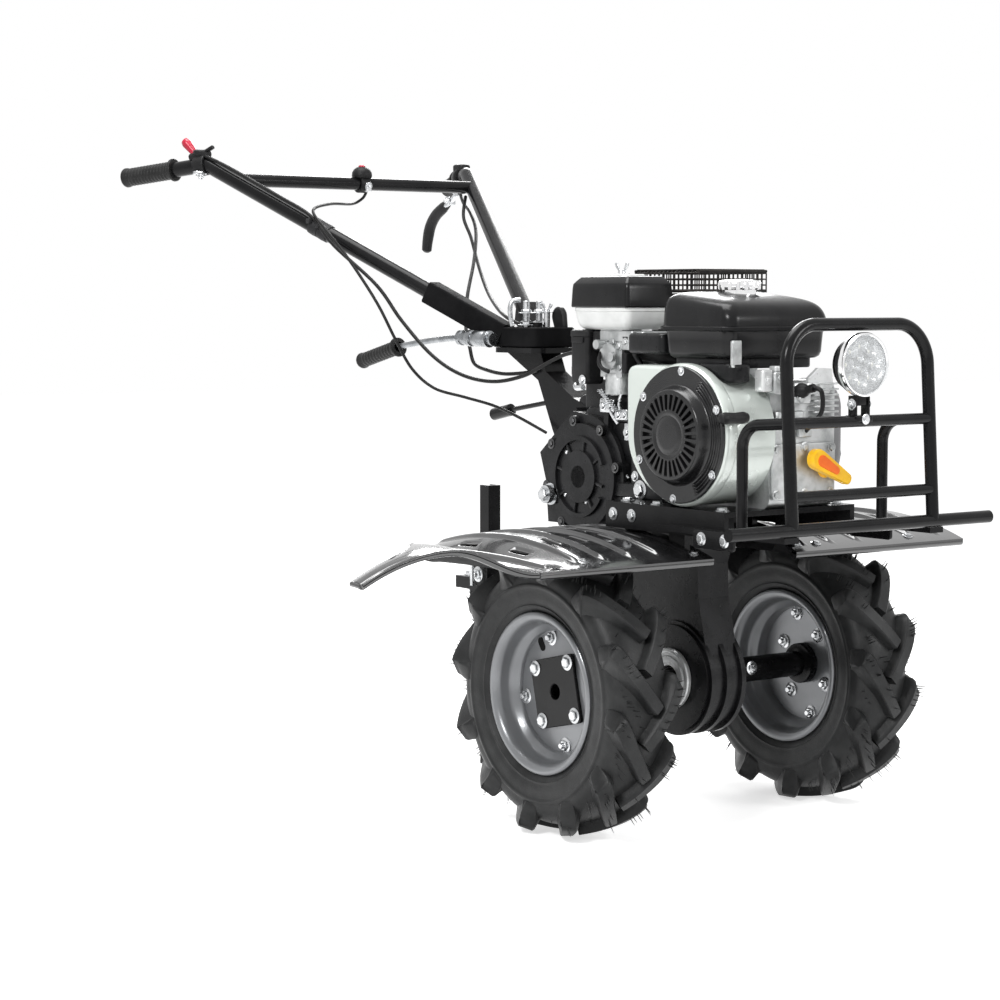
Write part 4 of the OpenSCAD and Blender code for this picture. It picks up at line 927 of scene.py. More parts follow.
def makeCage(s):
    # wires bent up one side, over the top and down the other, in both directions, with hoops round the sides
    low, high, b = np.array(s["low"]) + s["wire"], np.array(s["high"]) - s["wire"], s["bend"]
    parts = []
    for axis, other in ((0, 1), (1, 0)):
        count = int(round((high[other] - low[other]) / s["pitch"])) + 1
        for place in np.linspace(low[other], high[other], count):
            line = np.zeros((6, 3))
            line[:, axis] = [low[axis], low[axis], low[axis] + b, high[axis] - b, high[axis], high[axis]]
            line[:, 2] = [low[2], high[2] - b, high[2], high[2], high[2] - b, low[2]]
            line[:, other] = place
            parts.append(capped(tube(row(line), s["wire"] / 1000, 6, (0.3, 0.2, 0.1))))
    ring = roundRing(*((high - low)[:2] / 2), s["corner"], 4) + (low + high)[:2] / 2
    ring = np.concatenate([ring, ring[:1]])
    for number, level in enumerate(np.linspace(low[2] + s["frame"], high[2] - b, s["hoops"])):
        loop = np.column_stack([ring, np.full(len(ring), level)])
        parts.append(capped(tube(row(loop), s["wire" if number else "frame"] / 1000, 8)))
    for x in (low[0], high[0]):
        parts.append(wire([(x, y, high[2] - s["drop"]) for y in (low[1], high[1])], s["frame"], 8))
    makePiece("muffler_cage", parts, "mufflerDark", "muffler_guard", 40)


makeCage(cageShape)
print("stage: muffler cage")

# Head lamp: housing, bright ring, reflector with small cups, and lights in them

lampShape = {
    "back": (332, 0, 680),
    "housing": {"turned": [([(0, 0), (18, 0), (22, 2), (31, 7), (37, 13), (41, 20), (42.5, 27), (43.6, 28), (43.6, 33),
                             (42.2, 34), (41.6, 32), (40.6, 27), (36, 19), (20, 9), (0, 9)], noShift, toFront, 72),
                           ([(20, 3), (34, 6), (34, 7.6), (20, 4.6)], noShift, toFront, 40, True)]},
    "ring": {"turned": [([(43.7, 26), (44.4, 28), (44.4, 34.5), (43.4, 36.4), (41.4, 36.8), (40, 35.2), (40.4, 33.6),
                          (42, 32.5)], noShift, toFront, 72, True)]},
    "bowl": {"turned": [([(41, 33), (40, 29), (36, 22.5), (33, 20.5), (20, 19.5), (0, 19.5)], noShift, toFront, 72)]},
    "seat": 20.0,
    "cupRows": [{"ring": 25.0, "count": 8, "turn": 0.0, "size": 9.0},
                {"ring": 10.0, "count": 4, "turn": 0.4, "size": 6.4}],
    "cup": [(1, 9), (0.95, 9.6), (0.86, 8.6), (0.66, 4), (0.3, 0.8), (0, 0.6)], "wall": [(1, 9), (1, 0)],
    "light": [(0.34, 0.8), (0.3, 2.2), (0.18, 3), (0, 3.3)],
}


def makeLamp(s):
    # profiles swung round the lamp's forward axis; a cup's radii are shares of its size
    back = s["back"]
    makePiece("lamp_housing", fittings(s["housing"], back), "plasticBlack", "lamp_body", 32)
    makePiece("lamp_ring", fittings(s["ring"], back), "chrome", sharp=32)
    bowl, lights = fittings(s["bowl"], back), []
    for cups in s["cupRows"]:
        size = (cups["size"], 1)
        for y, _, z in ringPlaces((0, 0), cups["ring"], 0, cups["turn"] + around(cups["count"])):
            place = np.array(back) + (s["seat"], y, z)
            bowl += [turned(np.array(s[key]) * size, place, toFront, 22) for key in ("cup", "wall")]
            lights.append(turned(np.array(s["light"]) * size, place, toFront, 14))
    makePiece("lamp_reflector", bowl, "zinc", sharp=40)
    makePiece("lamp_lights", lights, "ledPale", sharp=40)


makeLamp(lampShape)
print("stage: head lamp")

# Oil dipstick and engine front

dipstickShape = {
    "handle": {"plates": [(teardrop((34, 543), (90, 513), 15.0, 8.0), 0, 231, 246, 3.0)],
               "turned": [([(0, 0), (11, 0), (13, 1), (13, 7), (10, 8), (10, 12), (0, 12)], (219.5, 62, 528),
                           toFront, 28)]},
    "centre": {"plates": [(teardrop((38, 541), (66, 526), 8.5, 5.5), 0, 244, 247.4, 1.0)]},
}
engineShape = {
    "front": {
        "boxes": [((219, -38, 486), (224, 84, 566), 2, 14, 0), ((216, -46, 636), (238, -16, 668), 3, 6),
                  ((219, -34, 590), (229, 20, 612), 2.5, 6), ((218, 10, 574), (230, 36, 598), 3, 6),
                  ((216, -8, 622), (240, 24, 652), 4, 8)]
                 + [((219, 34, level), (232, 84, level + 3), 1, 3) for level in range(600, 650, 8)],
        "bolts": [(toFront, 4.8, [
            (224, -30, 494), (224, -30, 558), (224, 24, 494), (224, 76, 494), (224, 76, 558), (224, 24, 560),
            (238, -38, 660), (238, -24, 646), (229, -26, 600), (230, 18, 584), (240, 0, 630), (240, 16, 644)])]},
    "plates": {
        "plates": [([(28, 634), (67, 634), (77, 647), (73, 671), (47, 672), (28, 658)], 0, 219.5, 227, 1.2)],
        "boxes": [((212, -64, 640), (232, -44, 671), 3, 5), ((216, -40, 668), (232, -22, 676), 2, 4)],
        "bolts": [(toFront, 4.0, [(227, 50, 646), (232, -54, 656)])]},
    "plug": {
        "turned": [([(0, 0), (10, 0), (11, 2), (11, 16), (9, 22), (6, 26), (6, 38), (0, 39)], (226, 0, 638),
                    (1, 0.1, 0.2), 22)],
        "wires": [([(262, 4, 646), (276, 6, 640), (272, 10, 612), (246, 14, 592), (226, 20, 580)], 3.4)]},
}
makePiece("dipstick_handle", fittings(dipstickShape["handle"]), "dipstickYellow", "oil_dipstick", 32)
makePiece("dipstick_centre", fittings(dipstickShape["centre"]), "dipstickOrange")
makePiece("engine_front", fittings(engineShape["front"]), "alloyCast", sharp=32)
makePiece("head_plates", fittings(engineShape["plates"]), "sealBright", sharp=32)
makePiece("spark_plug_boot", fittings(engineShape["plug"]), "plasticBlack", sharp=36)
print("stage: engine front")

# Handlebar controls; a grip lies along the last stretch of its arm

armShape = {"root": (-415, 30, 712), "bend": (-943, 273, 998), "tip": (-1102, 345, 979)}
gripShape = {"length": 108.0, "radius": 15.6, "ribs": 13, "gearRadius": 12.4, "gearRibs": 11,
             "gearStart": (-640, -84, 690), "gearEnd": (-750, -86, 664), "ribHigh": 0.55, "ribSink": 0.4,
             "ribStart": 9, "plain": 20, "flange": [(-3.5, 0), (3.2, 0), (4, 1.2), (4, 4), (2.4, 6), (-0.4, 8)],
             "end": [(0, -9), (1.2, -7), (1.2, -3.5), (0, -1.2), (-3, -0.2)]}


def armPoint(name, side):
    return np.array(armShape[name], float) * (1, side, 1)


def armEnd(side):
    # the start of the grip and the direction towards its end, on one side of the machine
    tip = armPoint("tip", side)
    out = unit(tip - armPoint("bend", side))
    return tip - out * gripShape["length"], out


def gripProfile(s, length, root, ribs):
    # a flange, a row of shallow ribs as a cosine, and a rounded end
    t = np.linspace(0, 1, ribs * 6 + 1)
    wave = s["ribHigh"] * np.cos(2 * np.pi * ribs * t) - s["ribSink"]
    body = np.column_stack([root + wave, s["ribStart"] + (length - s["plain"]) * t])
    end = np.array(s["end"]) + (root, length)
    return np.concatenate([np.array(s["flange"]) + (root, 0), body, end, [(0, length)]])


def makeGrips(s):
    for name, side in wheels.items():
        sleeve = turned(gripProfile(s, s["length"], s["radius"], s["ribs"]), *armEnd(side), 36)
        makePiece("grip_" + name + "_sleeve", [sleeve], "gripRubber", "grip_" + name, 40, "handlebar")
    start, end = np.array(s["gearStart"], float), np.array(s["gearEnd"], float)
    profile = gripProfile(s, np.linalg.norm(end - start), s["gearRadius"], s["gearRibs"])
    makePiece("gear_grip_sleeve", [turned(profile, start, end - start, 32)], "gripRubber", "gear_grip", 40, "handlebar")


throttleShape = {
    "back": 58.0, "collar": [(13.4, -11), (17, -11), (18, -9.5), (18, 9.5), (17, 11), (13.4, 11)],
    "barrels": [([(22, 15), (6, 18), (-12, 18)], 10.0, 16, 8, toTop, 0.8),
                ([(0, 20), (-11, 24), (-22, 28)], 5.0, 12, 8, toTop, 0.7)],
    "drum": [(0, 0), (12, 0), (13, 2), (13, 7), (10, 9), (0, 9)], "drumPlace": (4, 18), "drumAxis": (0.1, 0, 1),
    "blade": ([(10, 16), (17, 24), (26, 34), (34, 43), (38, 47)], ([0, 0.25, 0.7, 0.94, 1], [4, 6.5, 9, 7, 2.5]),
              18, 8, (0.3, 0.9, 0.2), 0.95),
    "screw": {"studs": [((0, -0.3, -1), 5, [(6, -6, -18)])], "boxes": [((-2, -20, -16), (14, 2, -10), 1.5, 3)],
              "turned": [([(0, 0), (3.4, 0), (3.4, 14), (0, 14)], (6, -4, -10), (0, -0.3, -1), 14)]},
}


def makeThrottle(s):
    # rods given by their distance along the arm and their height over it
    start, out = armEnd(wheels["right"])
    place = start - out * s["back"]

    def overArm(spots):
        return place + [out * t + np.array([0, 0, z]) for t, z in spots]

    dark = [wire(overArm(spots), *measures) for spots, *measures in s["barrels"]]
    dark += [turned(s["collar"], place, out, 32, True),
             turned(s["drum"], overArm([s["drumPlace"]])[0], s["drumAxis"], 28)]
    makePiece("throttle_mount", dark, "plasticBlack", "throttle_lever", 32, "handlebar")
    spots, *measures = s["blade"]
    makePiece("throttle_blade", [wire(overArm(spots), *measures)], "switchRed", None, 60, "handlebar")
    makePiece("throttle_screw", fittings(s["screw"], place), "zinc", body="handlebar")


switchShape = {
    "place": (-892.8, 10, 970.8),
    "case": {"turned": [([(11.4, -9), (15, -9), (15.6, -8), (15.6, 8), (15, 9), (11.4, 9)], noShift, toLeft, 30, True),
                        ([(0, 9), (14, 9), (17, 11), (18, 14), (17.4, 20), (14.6, 25), (10, 28.6), (6, 30), (0, 30.4)],
                         noShift, toTop, 36)]},
    "button": {"turned": [([(6.4, 29), (6.2, 31.4), (4.6, 32.8), (0, 33.4)], noShift, toTop, 26)]},
    "clamp": {"bolts": [(toRear, 4.2, [(-15, 0, -2)])], "studs": [((1, 0, -0.4), 4.6, [(15, 4, -4)])],
              "boxes": [((11, -2, -14), (17, 10, 2), 1.2, 2)]},
}


def makeSwitch(s):
    place = s["place"]
    makePiece("stop_switch_case", fittings(s["case"], place), "plasticBlack", "stop_switch", 32, "handlebar")
    makePiece("stop_switch_button", fittings(s["button"], place), "switchRed", body="handlebar")
    makePiece("stop_switch_clamp", fittings(s["clamp"], place), "zinc", body="handlebar")


clutchShape = {
    "back": 24.0, "collar": [(13.4, -12), (17.4, -12), (19, -9), (19, 9), (17.4, 12), (13.4, 12)],
    "dark": {"boxes": [((-14, -14, 10), (16, 10, 24), 4, 7), ((-6, -14, -30), (8, 6, -12), 3, 6)],
             "wires": [([(-34, -4, -44), (-56, -3, -54), (-84, -1, -68), (-106, 2, -88), (-118, 4, -114),
                         (-123, 5, -136)], ([0, 0.2, 0.7, 0.95, 1], [6, 11, 12.5, 11, 5]), 18, 8, toLeft, 0.75)]},
    "bright": {"studs": [(toRight, 5.6, [(0, -14, -26)]), (toRight, 5.0, [(-28, -14, -42)])],
               "wires": [([(10, -6, -16), (0, -10, -28), (-20, -8, -40), (-62, -3, -58)], 5.0, 12)],
               "boxes": [((-2, -18, -36), (10, -8, -20), 2, 3), ((-34, -14, -50), (-22, 2, -34), 2, 3)]},
}


def makeClutch(s):
    start, out = armEnd(wheels["left"])
    place = start - out * s["back"]
    dark = [turned(s["collar"], place, out, 32, True), *fittings(s["dark"], place)]
    makePiece("clutch_blade", dark, "plasticBlack", "clutch_lever", 34, "handlebar")
    makePiece("clutch_pivot", fittings(s["bright"], place), "zinc", body="handlebar")


gearLeverShape = {
    "wires": [([(-470, -79.7, 707.4), (-520, -81, 704), (-580, -82.6, 698), (-642, -84, 690)], 5, 14)],
    "turned": [([(0, 0), (10, 0), (10, 8), (13.4, 9), (13.4, 15), (11.6, 16), (11.6, 20), (12.6, 22), (12.6, 44),
                 (11.4, 46), (11.4, 50), (13.2, 51), (13.2, 60), (11, 62), (11, 74), (12.4, 75), (12.4, 82), (8, 88),
                 (5.4, 92), (0, 92)], (-388, -74, 705.5), (-87, -6, 2), 24)],
}
makeGrips(gripShape)
makeThrottle(throttleShape)
makeSwitch(switchShape)
makeClutch(clutchShape)
makePiece("gear_lever_rod", fittings(gearLeverShape), "gearSteel", "gear_lever", 34, "handlebar")
print("stage: handlebar controls")

# Gear case bolts, the black housing behind the starter, and the small linkage on it

caseMid = (-165, 500)
eighths = np.radians(45 * np.arange(8))
caseShape = {
    "bolts": {"bolts": [(toRight, 5.0, ringPlaces(caseMid, 86.0, -74.2, math.radians(12) + eighths))]},
    "screws": {"domes": [(toRight, 3.6, [(-143, -74.1, 509), (-199, -74.1, 536), (-202, -74.1, 470),
                                         (-150, -74.1, 462)])],
               "turned": [([(14, 0), (17, 0), (17, 3), (14, 3)], (-233.5, -76, 469.5), toRight, 30, True)]},
    "plugHead": ((-233.5, -90, 469.5), toRight, 9.0, False),
    "castings": {
        "arcs": [(caseMid, 56, 62, -79, -72, 20, 330), (caseMid, 30, 33, -77, -72, 0, 359),
                 ((12, 584), 120, 131, -66, -54, 168, 248)],
        "turned": [([(0, 0), (20, 0), (20, 3), (17, 5), (0, 5)], (-165, -74, 500), toRight, 36)],
        "wires": [(rib, 2.6, 8) for rib in np.stack([ringPlaces(caseMid, r, -75, math.radians(33) + eighths)
                                                     for r in (34, 46, 57)], 1)],
        "boxes": [((-182, -56, 520), (-48, 46, 606), 8, 16, 1), ((-120, -60, 584), (-44, -30, 626), 5, 8),
                  ((-206, -34, 560), (-112, 30, 648), 6, 12, 1), ((-242, -19, 566), (-190, 19, 622), 5, 16, 1),
                  ((-60, -66, 476), (40, -40, 560), 5, 10), ((-96, -70, 474), (44, -48, 496), 3, 6)]},
    "linkage": {
        "wires": [([(-108, -60, 616), (-117, -60, 588), (-110, -60, 552), (-92, -60, 524), (-66, -60, 502)], 1.8),
                  ([(-96, -73, 648), (-100, -75, 622), (-88, -76, 600), (-74, -74, 584)], 3.0),
                  ([(-62, -74, 640), (-70, -76, 612), (-58, -74, 592)], 2.6)],
        "boxes": [((-118, -76, 600), (-84, -70, 620), 1.5, 4), ((-78, -78, 590), (-50, -70, 606), 1.5, 4),
                  ((-60, -76, 560), (-44, -66, 586), 1.5, 4)],
        "bolts": [(toRight, 9.0, [(-27, -70, 488)]), (toRight, 5.0, [(-44, -66.1, 507)]),
                  (toRight, 8.0, [(-95, -22.1, 278)])]},
    "pins": [(-108, -76, 610), (-92, -76, 610), (-70, -78, 598), (-56, -78, 598), (-52, -76, 572)],
    "pinHalf": 4.6, "pinRadius": 3.0, "pinDepths": (-64, -54),
    "spring": {"start": (-112, -80, 634), "run": (44, 0, -30), "coils": 11, "radius": 4, "wire": 0.0011, "steps": 90},
    "endPlate": {"plates": [([(-144, 426), (-84, 431), (-89, 454), (-135, 450)], 1, -64, -59.5, 0.8)]},
}


def makeCase(s):
    # the spring is a circle carried along a straight run, turning as it goes
    makePiece("case_bolts", fittings(s["bolts"]), "axleSteel")
    makePiece("case_screws", fittings(s["screws"]) + hexBolt(*s["plugHead"]), "zinc")
    makePiece("case_castings", fittings(s["castings"]), "caseBlack", sharp=32)
    link, coil = fittings(s["linkage"]), s["spring"]
    for x, y, z in s["pins"]:
        link += hexBolt((x, y, z), toRight, s["pinHalf"])
        link.append(wire([(x, depth, z) for depth in (y, *s["pinDepths"])], s["pinRadius"]))
    t = np.linspace(0, 1, coil["steps"])
    turn = 2 * np.pi * coil["coils"] * t
    swing = coil["radius"] * np.column_stack([np.cos(turn), np.sin(turn), 0 * turn])
    link.append(capped(tube(row(np.array(coil["start"]) + t[:, None] * coil["run"] + swing), coil["wire"], 6)))
    makePiece("governor_linkage", link, "zinc", sharp=34)
    makePiece("bed_end_plate", fittings(s["endPlate"]), "zinc")


makeCase(caseShape)
print("stage: gear case")

# Clamp studs, sleeves and straps on the handlebar

clampSpots = [(-382, -13), (-382, 13)]
clampShape = {
    "studs": {
        "turned": [([(0, 0), (5.4, 0), (5.4, 41), (4.4, 42), (0, 42)], (x, y, 724.5), toTop, 18)
                   for x, y in clampSpots] + [([(0, 0), (5, 0), (5, 24), (0, 24)], (-362, 13, 725), toTop, 16)],
        "studs": [(toTop, 8.0, [(x, y, 746.5) for x, y in clampSpots])],
        "bolts": [(toTop, 9.0, [(x, y, 727.5) for x, y in clampSpots])],
        "wires": [([(-392, -34, 726), (-394, -36, 742), (-394, -36, 758), (-392, -32, 766), (-386, -22, 768)],
                   4.0, 14)],
        "wings": [(toTop, 7.0, [(-362, 13, 748)])]},
    "lobe": {"plates": [(teardrop((-350, 742), (-346, 726), 15, 13), 1, 24, 34, 2.0)]},
}
makePiece("clamp_studs", fittings(clampShape["studs"]), "zinc", "clamp_nut", 34, "handlebar")
makePiece("clamp_lobe", fittings(clampShape["lobe"]), "plasticBlack", body="handlebar")

baseShape = {"low": (-440, -44, 692.5), "high": (-322, 44, 724.5), "corner": 14.0, "pivot": -370.0, "hole": 8.8,
             "steps": 96, "edge": 2.0, "half": (17.0, 18.0), "sleeveCorner": 3.0, "sleeveEdge": 1.5, "tube": 12.95,
             "tubeEnd": 0.303, "overlap": (-0.03, 0.05), "sleeves": {-1: 0.242, 1: 0.13}}


def makeBase(s):
    # a rounded block round the pivot hole, and on each side a rounded rectangle carried along the arm, flat underneath
    low, high = np.array(s["low"], float), np.array(s["high"], float)
    mid, half = (low + high) / 2, (high - low) / 2
    loop = roundRing(half[0], half[1], s["corner"]) + mid[:2]
    loop = np.concatenate([loop, loop[:1]])
    far = np.concatenate([[0], np.cumsum(np.linalg.norm(np.diff(loop, axis=0), axis=1))])
    even = np.linspace(0, far[-1], s["steps"], endpoint=False)
    outer = np.column_stack([np.interp(even, far, loop[:, k]) for k in (0, 1)])
    turn = np.arctan2(outer[:, 1], outer[:, 0] - s["pivot"])
    inner = np.column_stack([s["pivot"] + s["hole"] * np.cos(turn), s["hole"] * np.sin(turn)])
    soft, e = mid[:2] + (outer - mid[:2]) * (1 - s["edge"] / half[:2]), s["edge"]
    rings = [(inner, low[2]), (soft, low[2]), (outer, low[2] + e), (outer, high[2] - e), (soft, high[2]),
             (inner, high[2])]
    block = np.stack([np.column_stack([ring, np.full(len(ring), z)]) for ring, z in rings])
    parts, roots = [surface(row(block), True, True)], []
    for side, share in s["sleeves"].items():
        root, bend = armPoint("root", side), armPoint("bend", side)
        along = unit(bend - root)
        level = unit(np.cross(toTop, along))
        rise = np.cross(along, level)
        reach = np.linalg.norm(bend - root)
        sleeve, e = [], s["sleeveEdge"]
        for far, inset in ((0, 0), (share * reach - e, 0), (share * reach, e)):
            ring = roundRing(*(np.array(s["half"]) - inset), s["sleeveCorner"])
            sleeve.append(root + along * far + ring[:, :1] * level + ring[:, 1:] * rise)
        sleeve = np.stack(sleeve)
        sleeve[..., 2] = np.maximum(sleeve[..., 2], low[2])
        parts.append(capped(row(sleeve)))
        stretch = [share + step for step in s["overlap"]] + [s["tubeEnd"]]
        roots.append(wire([root + along * reach * t for t in stretch], s["tube"], 32))
    makePiece("handlebar_base_body", parts, "sleevePaint", "handlebar_base", 30, "handlebar")
    makePiece("handlebar_arm_roots", roots, "blackPaint", body="handlebar")


makeBase(baseShape)

strapShape = {"places": [0.588, 0.618], "box": {"boxes": [((-4, -20, 6), (6, -12, 14), 1.5, 2)]},
              "band": [(13, -10), (14.8, -9.2), (15.3, 0), (14.8, 9.2), (13, 10)]}


def makeStraps(s):
    # short bands round the arm, each a ring swung about the arm's own line
    root, bend = armPoint("root", wheels["right"]), armPoint("bend", wheels["right"])
    bands = []
    for share in s["places"]:
        place = root + (bend - root) * share
        bands += [turned(s["band"], place, bend - root, 28), *fittings(s["box"], place)]
    makePiece("cable_straps", bands, "tapeGrey", None, 34, "handlebar")


makeStraps(strapShape)
print("stage: clamp and straps")

# Mudguards: arched sheets with pressed ribs and slots, a rolled front rim, and the swept flap on the right

guardShape = {"front": 150.0, "rear": -230.0, "middle": -40.0, "bend": 563.47, "crest": 434.0, "thick": 3.0,
              "ribs": [0.1, 0.26, 0.42, 0.58, 0.74, 0.9], "ribHigh": 4.0, "ribHalf": 6.0, "ribEnds": (24, 18, 16),
              "slots": [0.18, 0.34, 0.5, 0.66, 0.82], "slotDeep": 2.2, "slotHalf": 7.0, "slotPitch": 120,
              "slotShift": 30, "slotRun": 22, "slotSoft": 5, "slotMiddles": [-90, 30], "slotReach": 19,
              "slotSink": 1.7, "slotWire": 5.0, "slotFlat": 0.16, "grid": (96, 200), "rim": 6.0,
              "rearRim": 4.0, "rearInset": 4.0, "rearDrop": 3.0, "settle": {"right": 100.0, "left": 0.01},
              "drawIn": {"right": 143.0, "left": 0.0}, "sheets": {"right": (-390.0, -80.0), "left": (80.0, 430.0)}}
flapShape = {"root": -390.0, "reach": 286.0, "hump": 40.0, "humpShare": 0.52, "droop": 36.0, "edge": 401.0,
             "depth": 36.0, "tipStart": 0.6, "tipNarrow": 0.25, "rootDepth": 200.0, "rootShare": 0.8, "crown": 2.5,
             "thick": 2.6, "rim": 5.0, "backRim": 3.2, "tipRim": 3.8, "backDrop": 2, "tipDrop": 3, "grid": (9, 60),
             "under": (2.8, 4.0)}


def guardHeight(s, x):
    # height of the arch over the ground at a distance along the machine
    return s["crest"] - s["bend"] + np.sqrt(s["bend"] ** 2 - (x - s["middle"]) ** 2)


def guardTop(s, name, x, y):
    # the arch, settling to the height of its front edge towards the outer end of the right sheet
    edge = guardHeight(s, s["front"])
    return edge + (guardHeight(s, x) - edge) * ease((y - s["sheets"][name][0]) / s["settle"][name])


def sheetParts(top, low):
    # an upper and a lower grid, joined round their long edges and shut at both ends
    ends = [surface(row(np.stack([top[:, k], low[:, k]]))) for k in (0, -1)]
    return [surface(row(np.concatenate([top, low[::-1]])), wrapU=True), *ends]


# Bolts on the bed, its arms and the mudguards

boltShape = {
    "side": [(206, -153.1, 438), (254, -153.1, 438), (20, -125.1, 456), (-22, -125.1, 456)], "sideHalf": 6.0,
    "top": {"bolts": [(toTop, 6.4, [(60, -110, 474.2), (200, -110, 474.2), (60, 110, 474.2), (200, 110, 474.2),
                                    (-20, -100, 474.2)])]},
    "guard": [(128, 100), (128, 139), (128, 331), (128, -100), (128, -300)], "guardAxis": (0.3, 0, 1), "guardHalf": 5.0,
    "tabs": {"boxes": [((188, -153, 424), (272, -148, 450), 1.0, 5, 1), ((188, 148, 424), (272, 153, 450), 1.0, 5, 1)]},
}


def makeBolts(s):
    parts = fittings(s["top"])
    for x, y, z in s["side"]:
        parts += hexBolt((x, y, z), toRight, s["sideHalf"]) + hexBolt((x, -y, z), toLeft, s["sideHalf"])
    for x, y in s["guard"]:
        height = guardTop(guardShape, "left" if y > 0 else "right", x, y) + 0.2
        parts += hexBolt((x, y, height), s["guardAxis"], s["guardHalf"])
    makePiece("frame_bolts", parts, "zinc")
    makePiece("arm_tabs", fittings(s["tabs"]), "blackPaint", sharp=32)


makeBolts(boltShape)
print("stage: bolts")


def makeGuard(name, span, s):
    # the arch, lifted by smooth ribs and sunk by short slots across its width
    along, wide = s["grid"]
    y = np.linspace(*span, wide)[None]
    rearLine = s["rear"] + s["drawIn"][name] * (1 - ease((y - span[0]) / s["settle"][name]))
    x = rearLine + (s["front"] - rearLine) * np.linspace(0, 1, along)[:, None]
    y = y + 0 * x
    width = span[1] - span[0]
    rearGap, frontGap, soft = s["ribEnds"]
    ends = band(x, s["rear"] + rearGap, s["front"] - frontGap, soft)
    away = np.abs((x + s["slotShift"]) % s["slotPitch"] - s["slotPitch"] / 2)
    holes = ease((s["slotRun"] - away) / s["slotSoft"])
    lift = 0 * x
    for place in s["ribs"]:
        lift = lift + s["ribHigh"] * ends * ease(1.5 - 1.5 * np.abs(y - span[0] - place * width) / s["ribHalf"])
    for place in s["slots"]:
        lift = lift - s["slotDeep"] * holes * ends * ease(2.2 - 2 * np.abs(y - span[0] - place * width) / s["slotHalf"])
    base = guardTop(s, name, x, y)
    top = np.stack([x, y, base + lift], -1)
    low = np.stack([x, y, base - s["thick"] + np.maximum(lift, 0) * 0.9], -1)
    frontRim, rearRim = [(s["front"] - s["rim"], guardHeight(s, s["front"]) - s["rim"] + 1),
                         (s["rear"] + s["rearInset"], guardHeight(s, s["rear"]) - s["rearDrop"])]
    parts = sheetParts(top, low)
    for (rimX, rimZ), start, radius, sides in ((frontRim, span[0], s["rim"], 14),
                                               (rearRim, span[0] + s["settle"][name], s["rearRim"], 12)):
        line = [(rimX, rimY, rimZ) for rimY in np.linspace(start, span[1], 3)]
        parts.append(capped(tube(row(line), radius / 1000, sides)))
    makePiece("mudguard_" + name + "_sheet", parts, "sheetPaint", "mudguard_" + name, 40)
    # dark flattened rods sunk into the slots are painted shade, standing in for the shade inside them
    dark = []
    for middle in s["slotMiddles"]:
        run = np.linspace(middle - s["slotReach"], middle + s["slotReach"], 5)
        for place in s["slots"]:
            side = span[0] + place * width
            line = np.column_stack([run, np.full(5, side), guardTop(s, name, run, side) - s["slotSink"]])
            dark.append(wire(line, s["slotWire"], 12, 4, toTop, s["slotFlat"]))
    makePiece("mudguard_" + name + "_slot_shade", dark, "paintedHoleShade")


def makeFlap(s, front):
    # a strip that rises in half a cosine wave and then droops, wide at its root, with rolled edges
    rows, steps = s["grid"]
    t, hump = np.linspace(0, 1, steps), s["humpShare"]
    rise = np.where(t < hump, s["hump"] * (1 - np.cos(np.pi * t / hump)) / 2,
                    s["hump"] - s["droop"] * ((t - hump) / (1 - hump)) ** 2)
    taper = s["depth"] * (1 - s["tipNarrow"] * ease((t - s["tipStart"]) / (1 - s["tipStart"])))
    taper = taper + s["rootDepth"] * (1 - ease(t / s["rootShare"]))
    frontLine = np.column_stack([np.full(len(t), front), s["root"] - s["reach"] * t, s["edge"] + rise])
    backLine = frontLine - taper[:, None] * toFront
    shares = np.linspace(0, 1, rows)[:, None, None]
    top = frontLine * (1 - shares) + backLine * shares + s["crown"] * np.sin(np.pi * shares) * toTop
    down = np.array(toGround, float)
    frontRim, backRim = frontLine - (s["rim"], 0, s["rim"] - 1), backLine + s["backDrop"] * down
    tip = np.stack([frontRim[-1], (frontLine[-1] + backLine[-1]) / 2 + s["tipDrop"] * down, backRim[-1]])
    parts = sheetParts(top, top + s["thick"] * down)
    parts += [capped(tube(row(frontRim), s["rim"] / 1000, 14, (1, 0, 0.1))),
              capped(tube(row(backRim), s["backRim"] / 1000, 10, (1, 0, 0.1))),
              capped(tube(row(tip), s["tipRim"] / 1000, 10))]
    makePiece("mudguard_flap_strip", parts, "sheetPaint", "mudguard_flap", 40)
    under, lower = (top + depth * down for depth in s["under"])
    makePiece("mudguard_flap_under", sheetParts(under, lower), "sleevePaint", sharp=40)


for guardName, guardSpan in guardShape["sheets"].items():
    makeGuard(guardName, guardSpan, guardShape)
makeFlap(flapShape, guardShape["front"] - 1.0)
print("stage: mudguards")

# Hubs with their square plates, and the bright seal on the drum

hubShape = {"half": 50.0, "square": 22.0, "turn": 13.0, "low": 10.4, "high": 16.0, "hole": 11.0, "steps": 160,
            "edge": 1.0, "sleeveSteps": 48,
            "sleeve": [(16, -172), (18.4, -172), (19.15, -170), (19.15, -12), (23, -10), (30, -9), (31, -7), (31, 3),
                       (29, 5), (16, 5)], "bolt": (19.2, 112, 212), "boltAxis": (1, 0, 0.1), "boltHalf": 6.5}


def makeHub(name, side, s):
    # a square ring turned a little round the axle, and a stepped sleeve swung round it
    turn, power = around(s["steps"]), s["square"]
    reach = s["half"] * (np.abs(np.cos(turn)) ** power + np.abs(np.sin(turn)) ** power) ** (-1 / power)
    low, high, hole, e = s["low"], s["high"], s["hole"], s["edge"]
    rows = [(reach - e, low), (reach, low + e), (reach, high - e), (reach - e, high), (hole + e, high),
            (hole, high - e), (hole, low)]
    points = np.stack([wheelPoint(side, r, y, turn + math.radians(s["turn"])) for r, y in rows])
    parts = [surface(row(points), wrapU=True, wrapV=True), wheelRing(side, s["sleeve"], s["sleeveSteps"])]
    makePiece("hub_" + name + "_plate", parts, "blackPaint", "hub_" + name, 32, "wheelset")
    bolt = studBolt(np.array(s["bolt"]) * (1, side, 1), s["boltAxis"], s["boltHalf"])
    makePiece("hub_bolt_" + name, bolt, "zinc", body="wheelset")


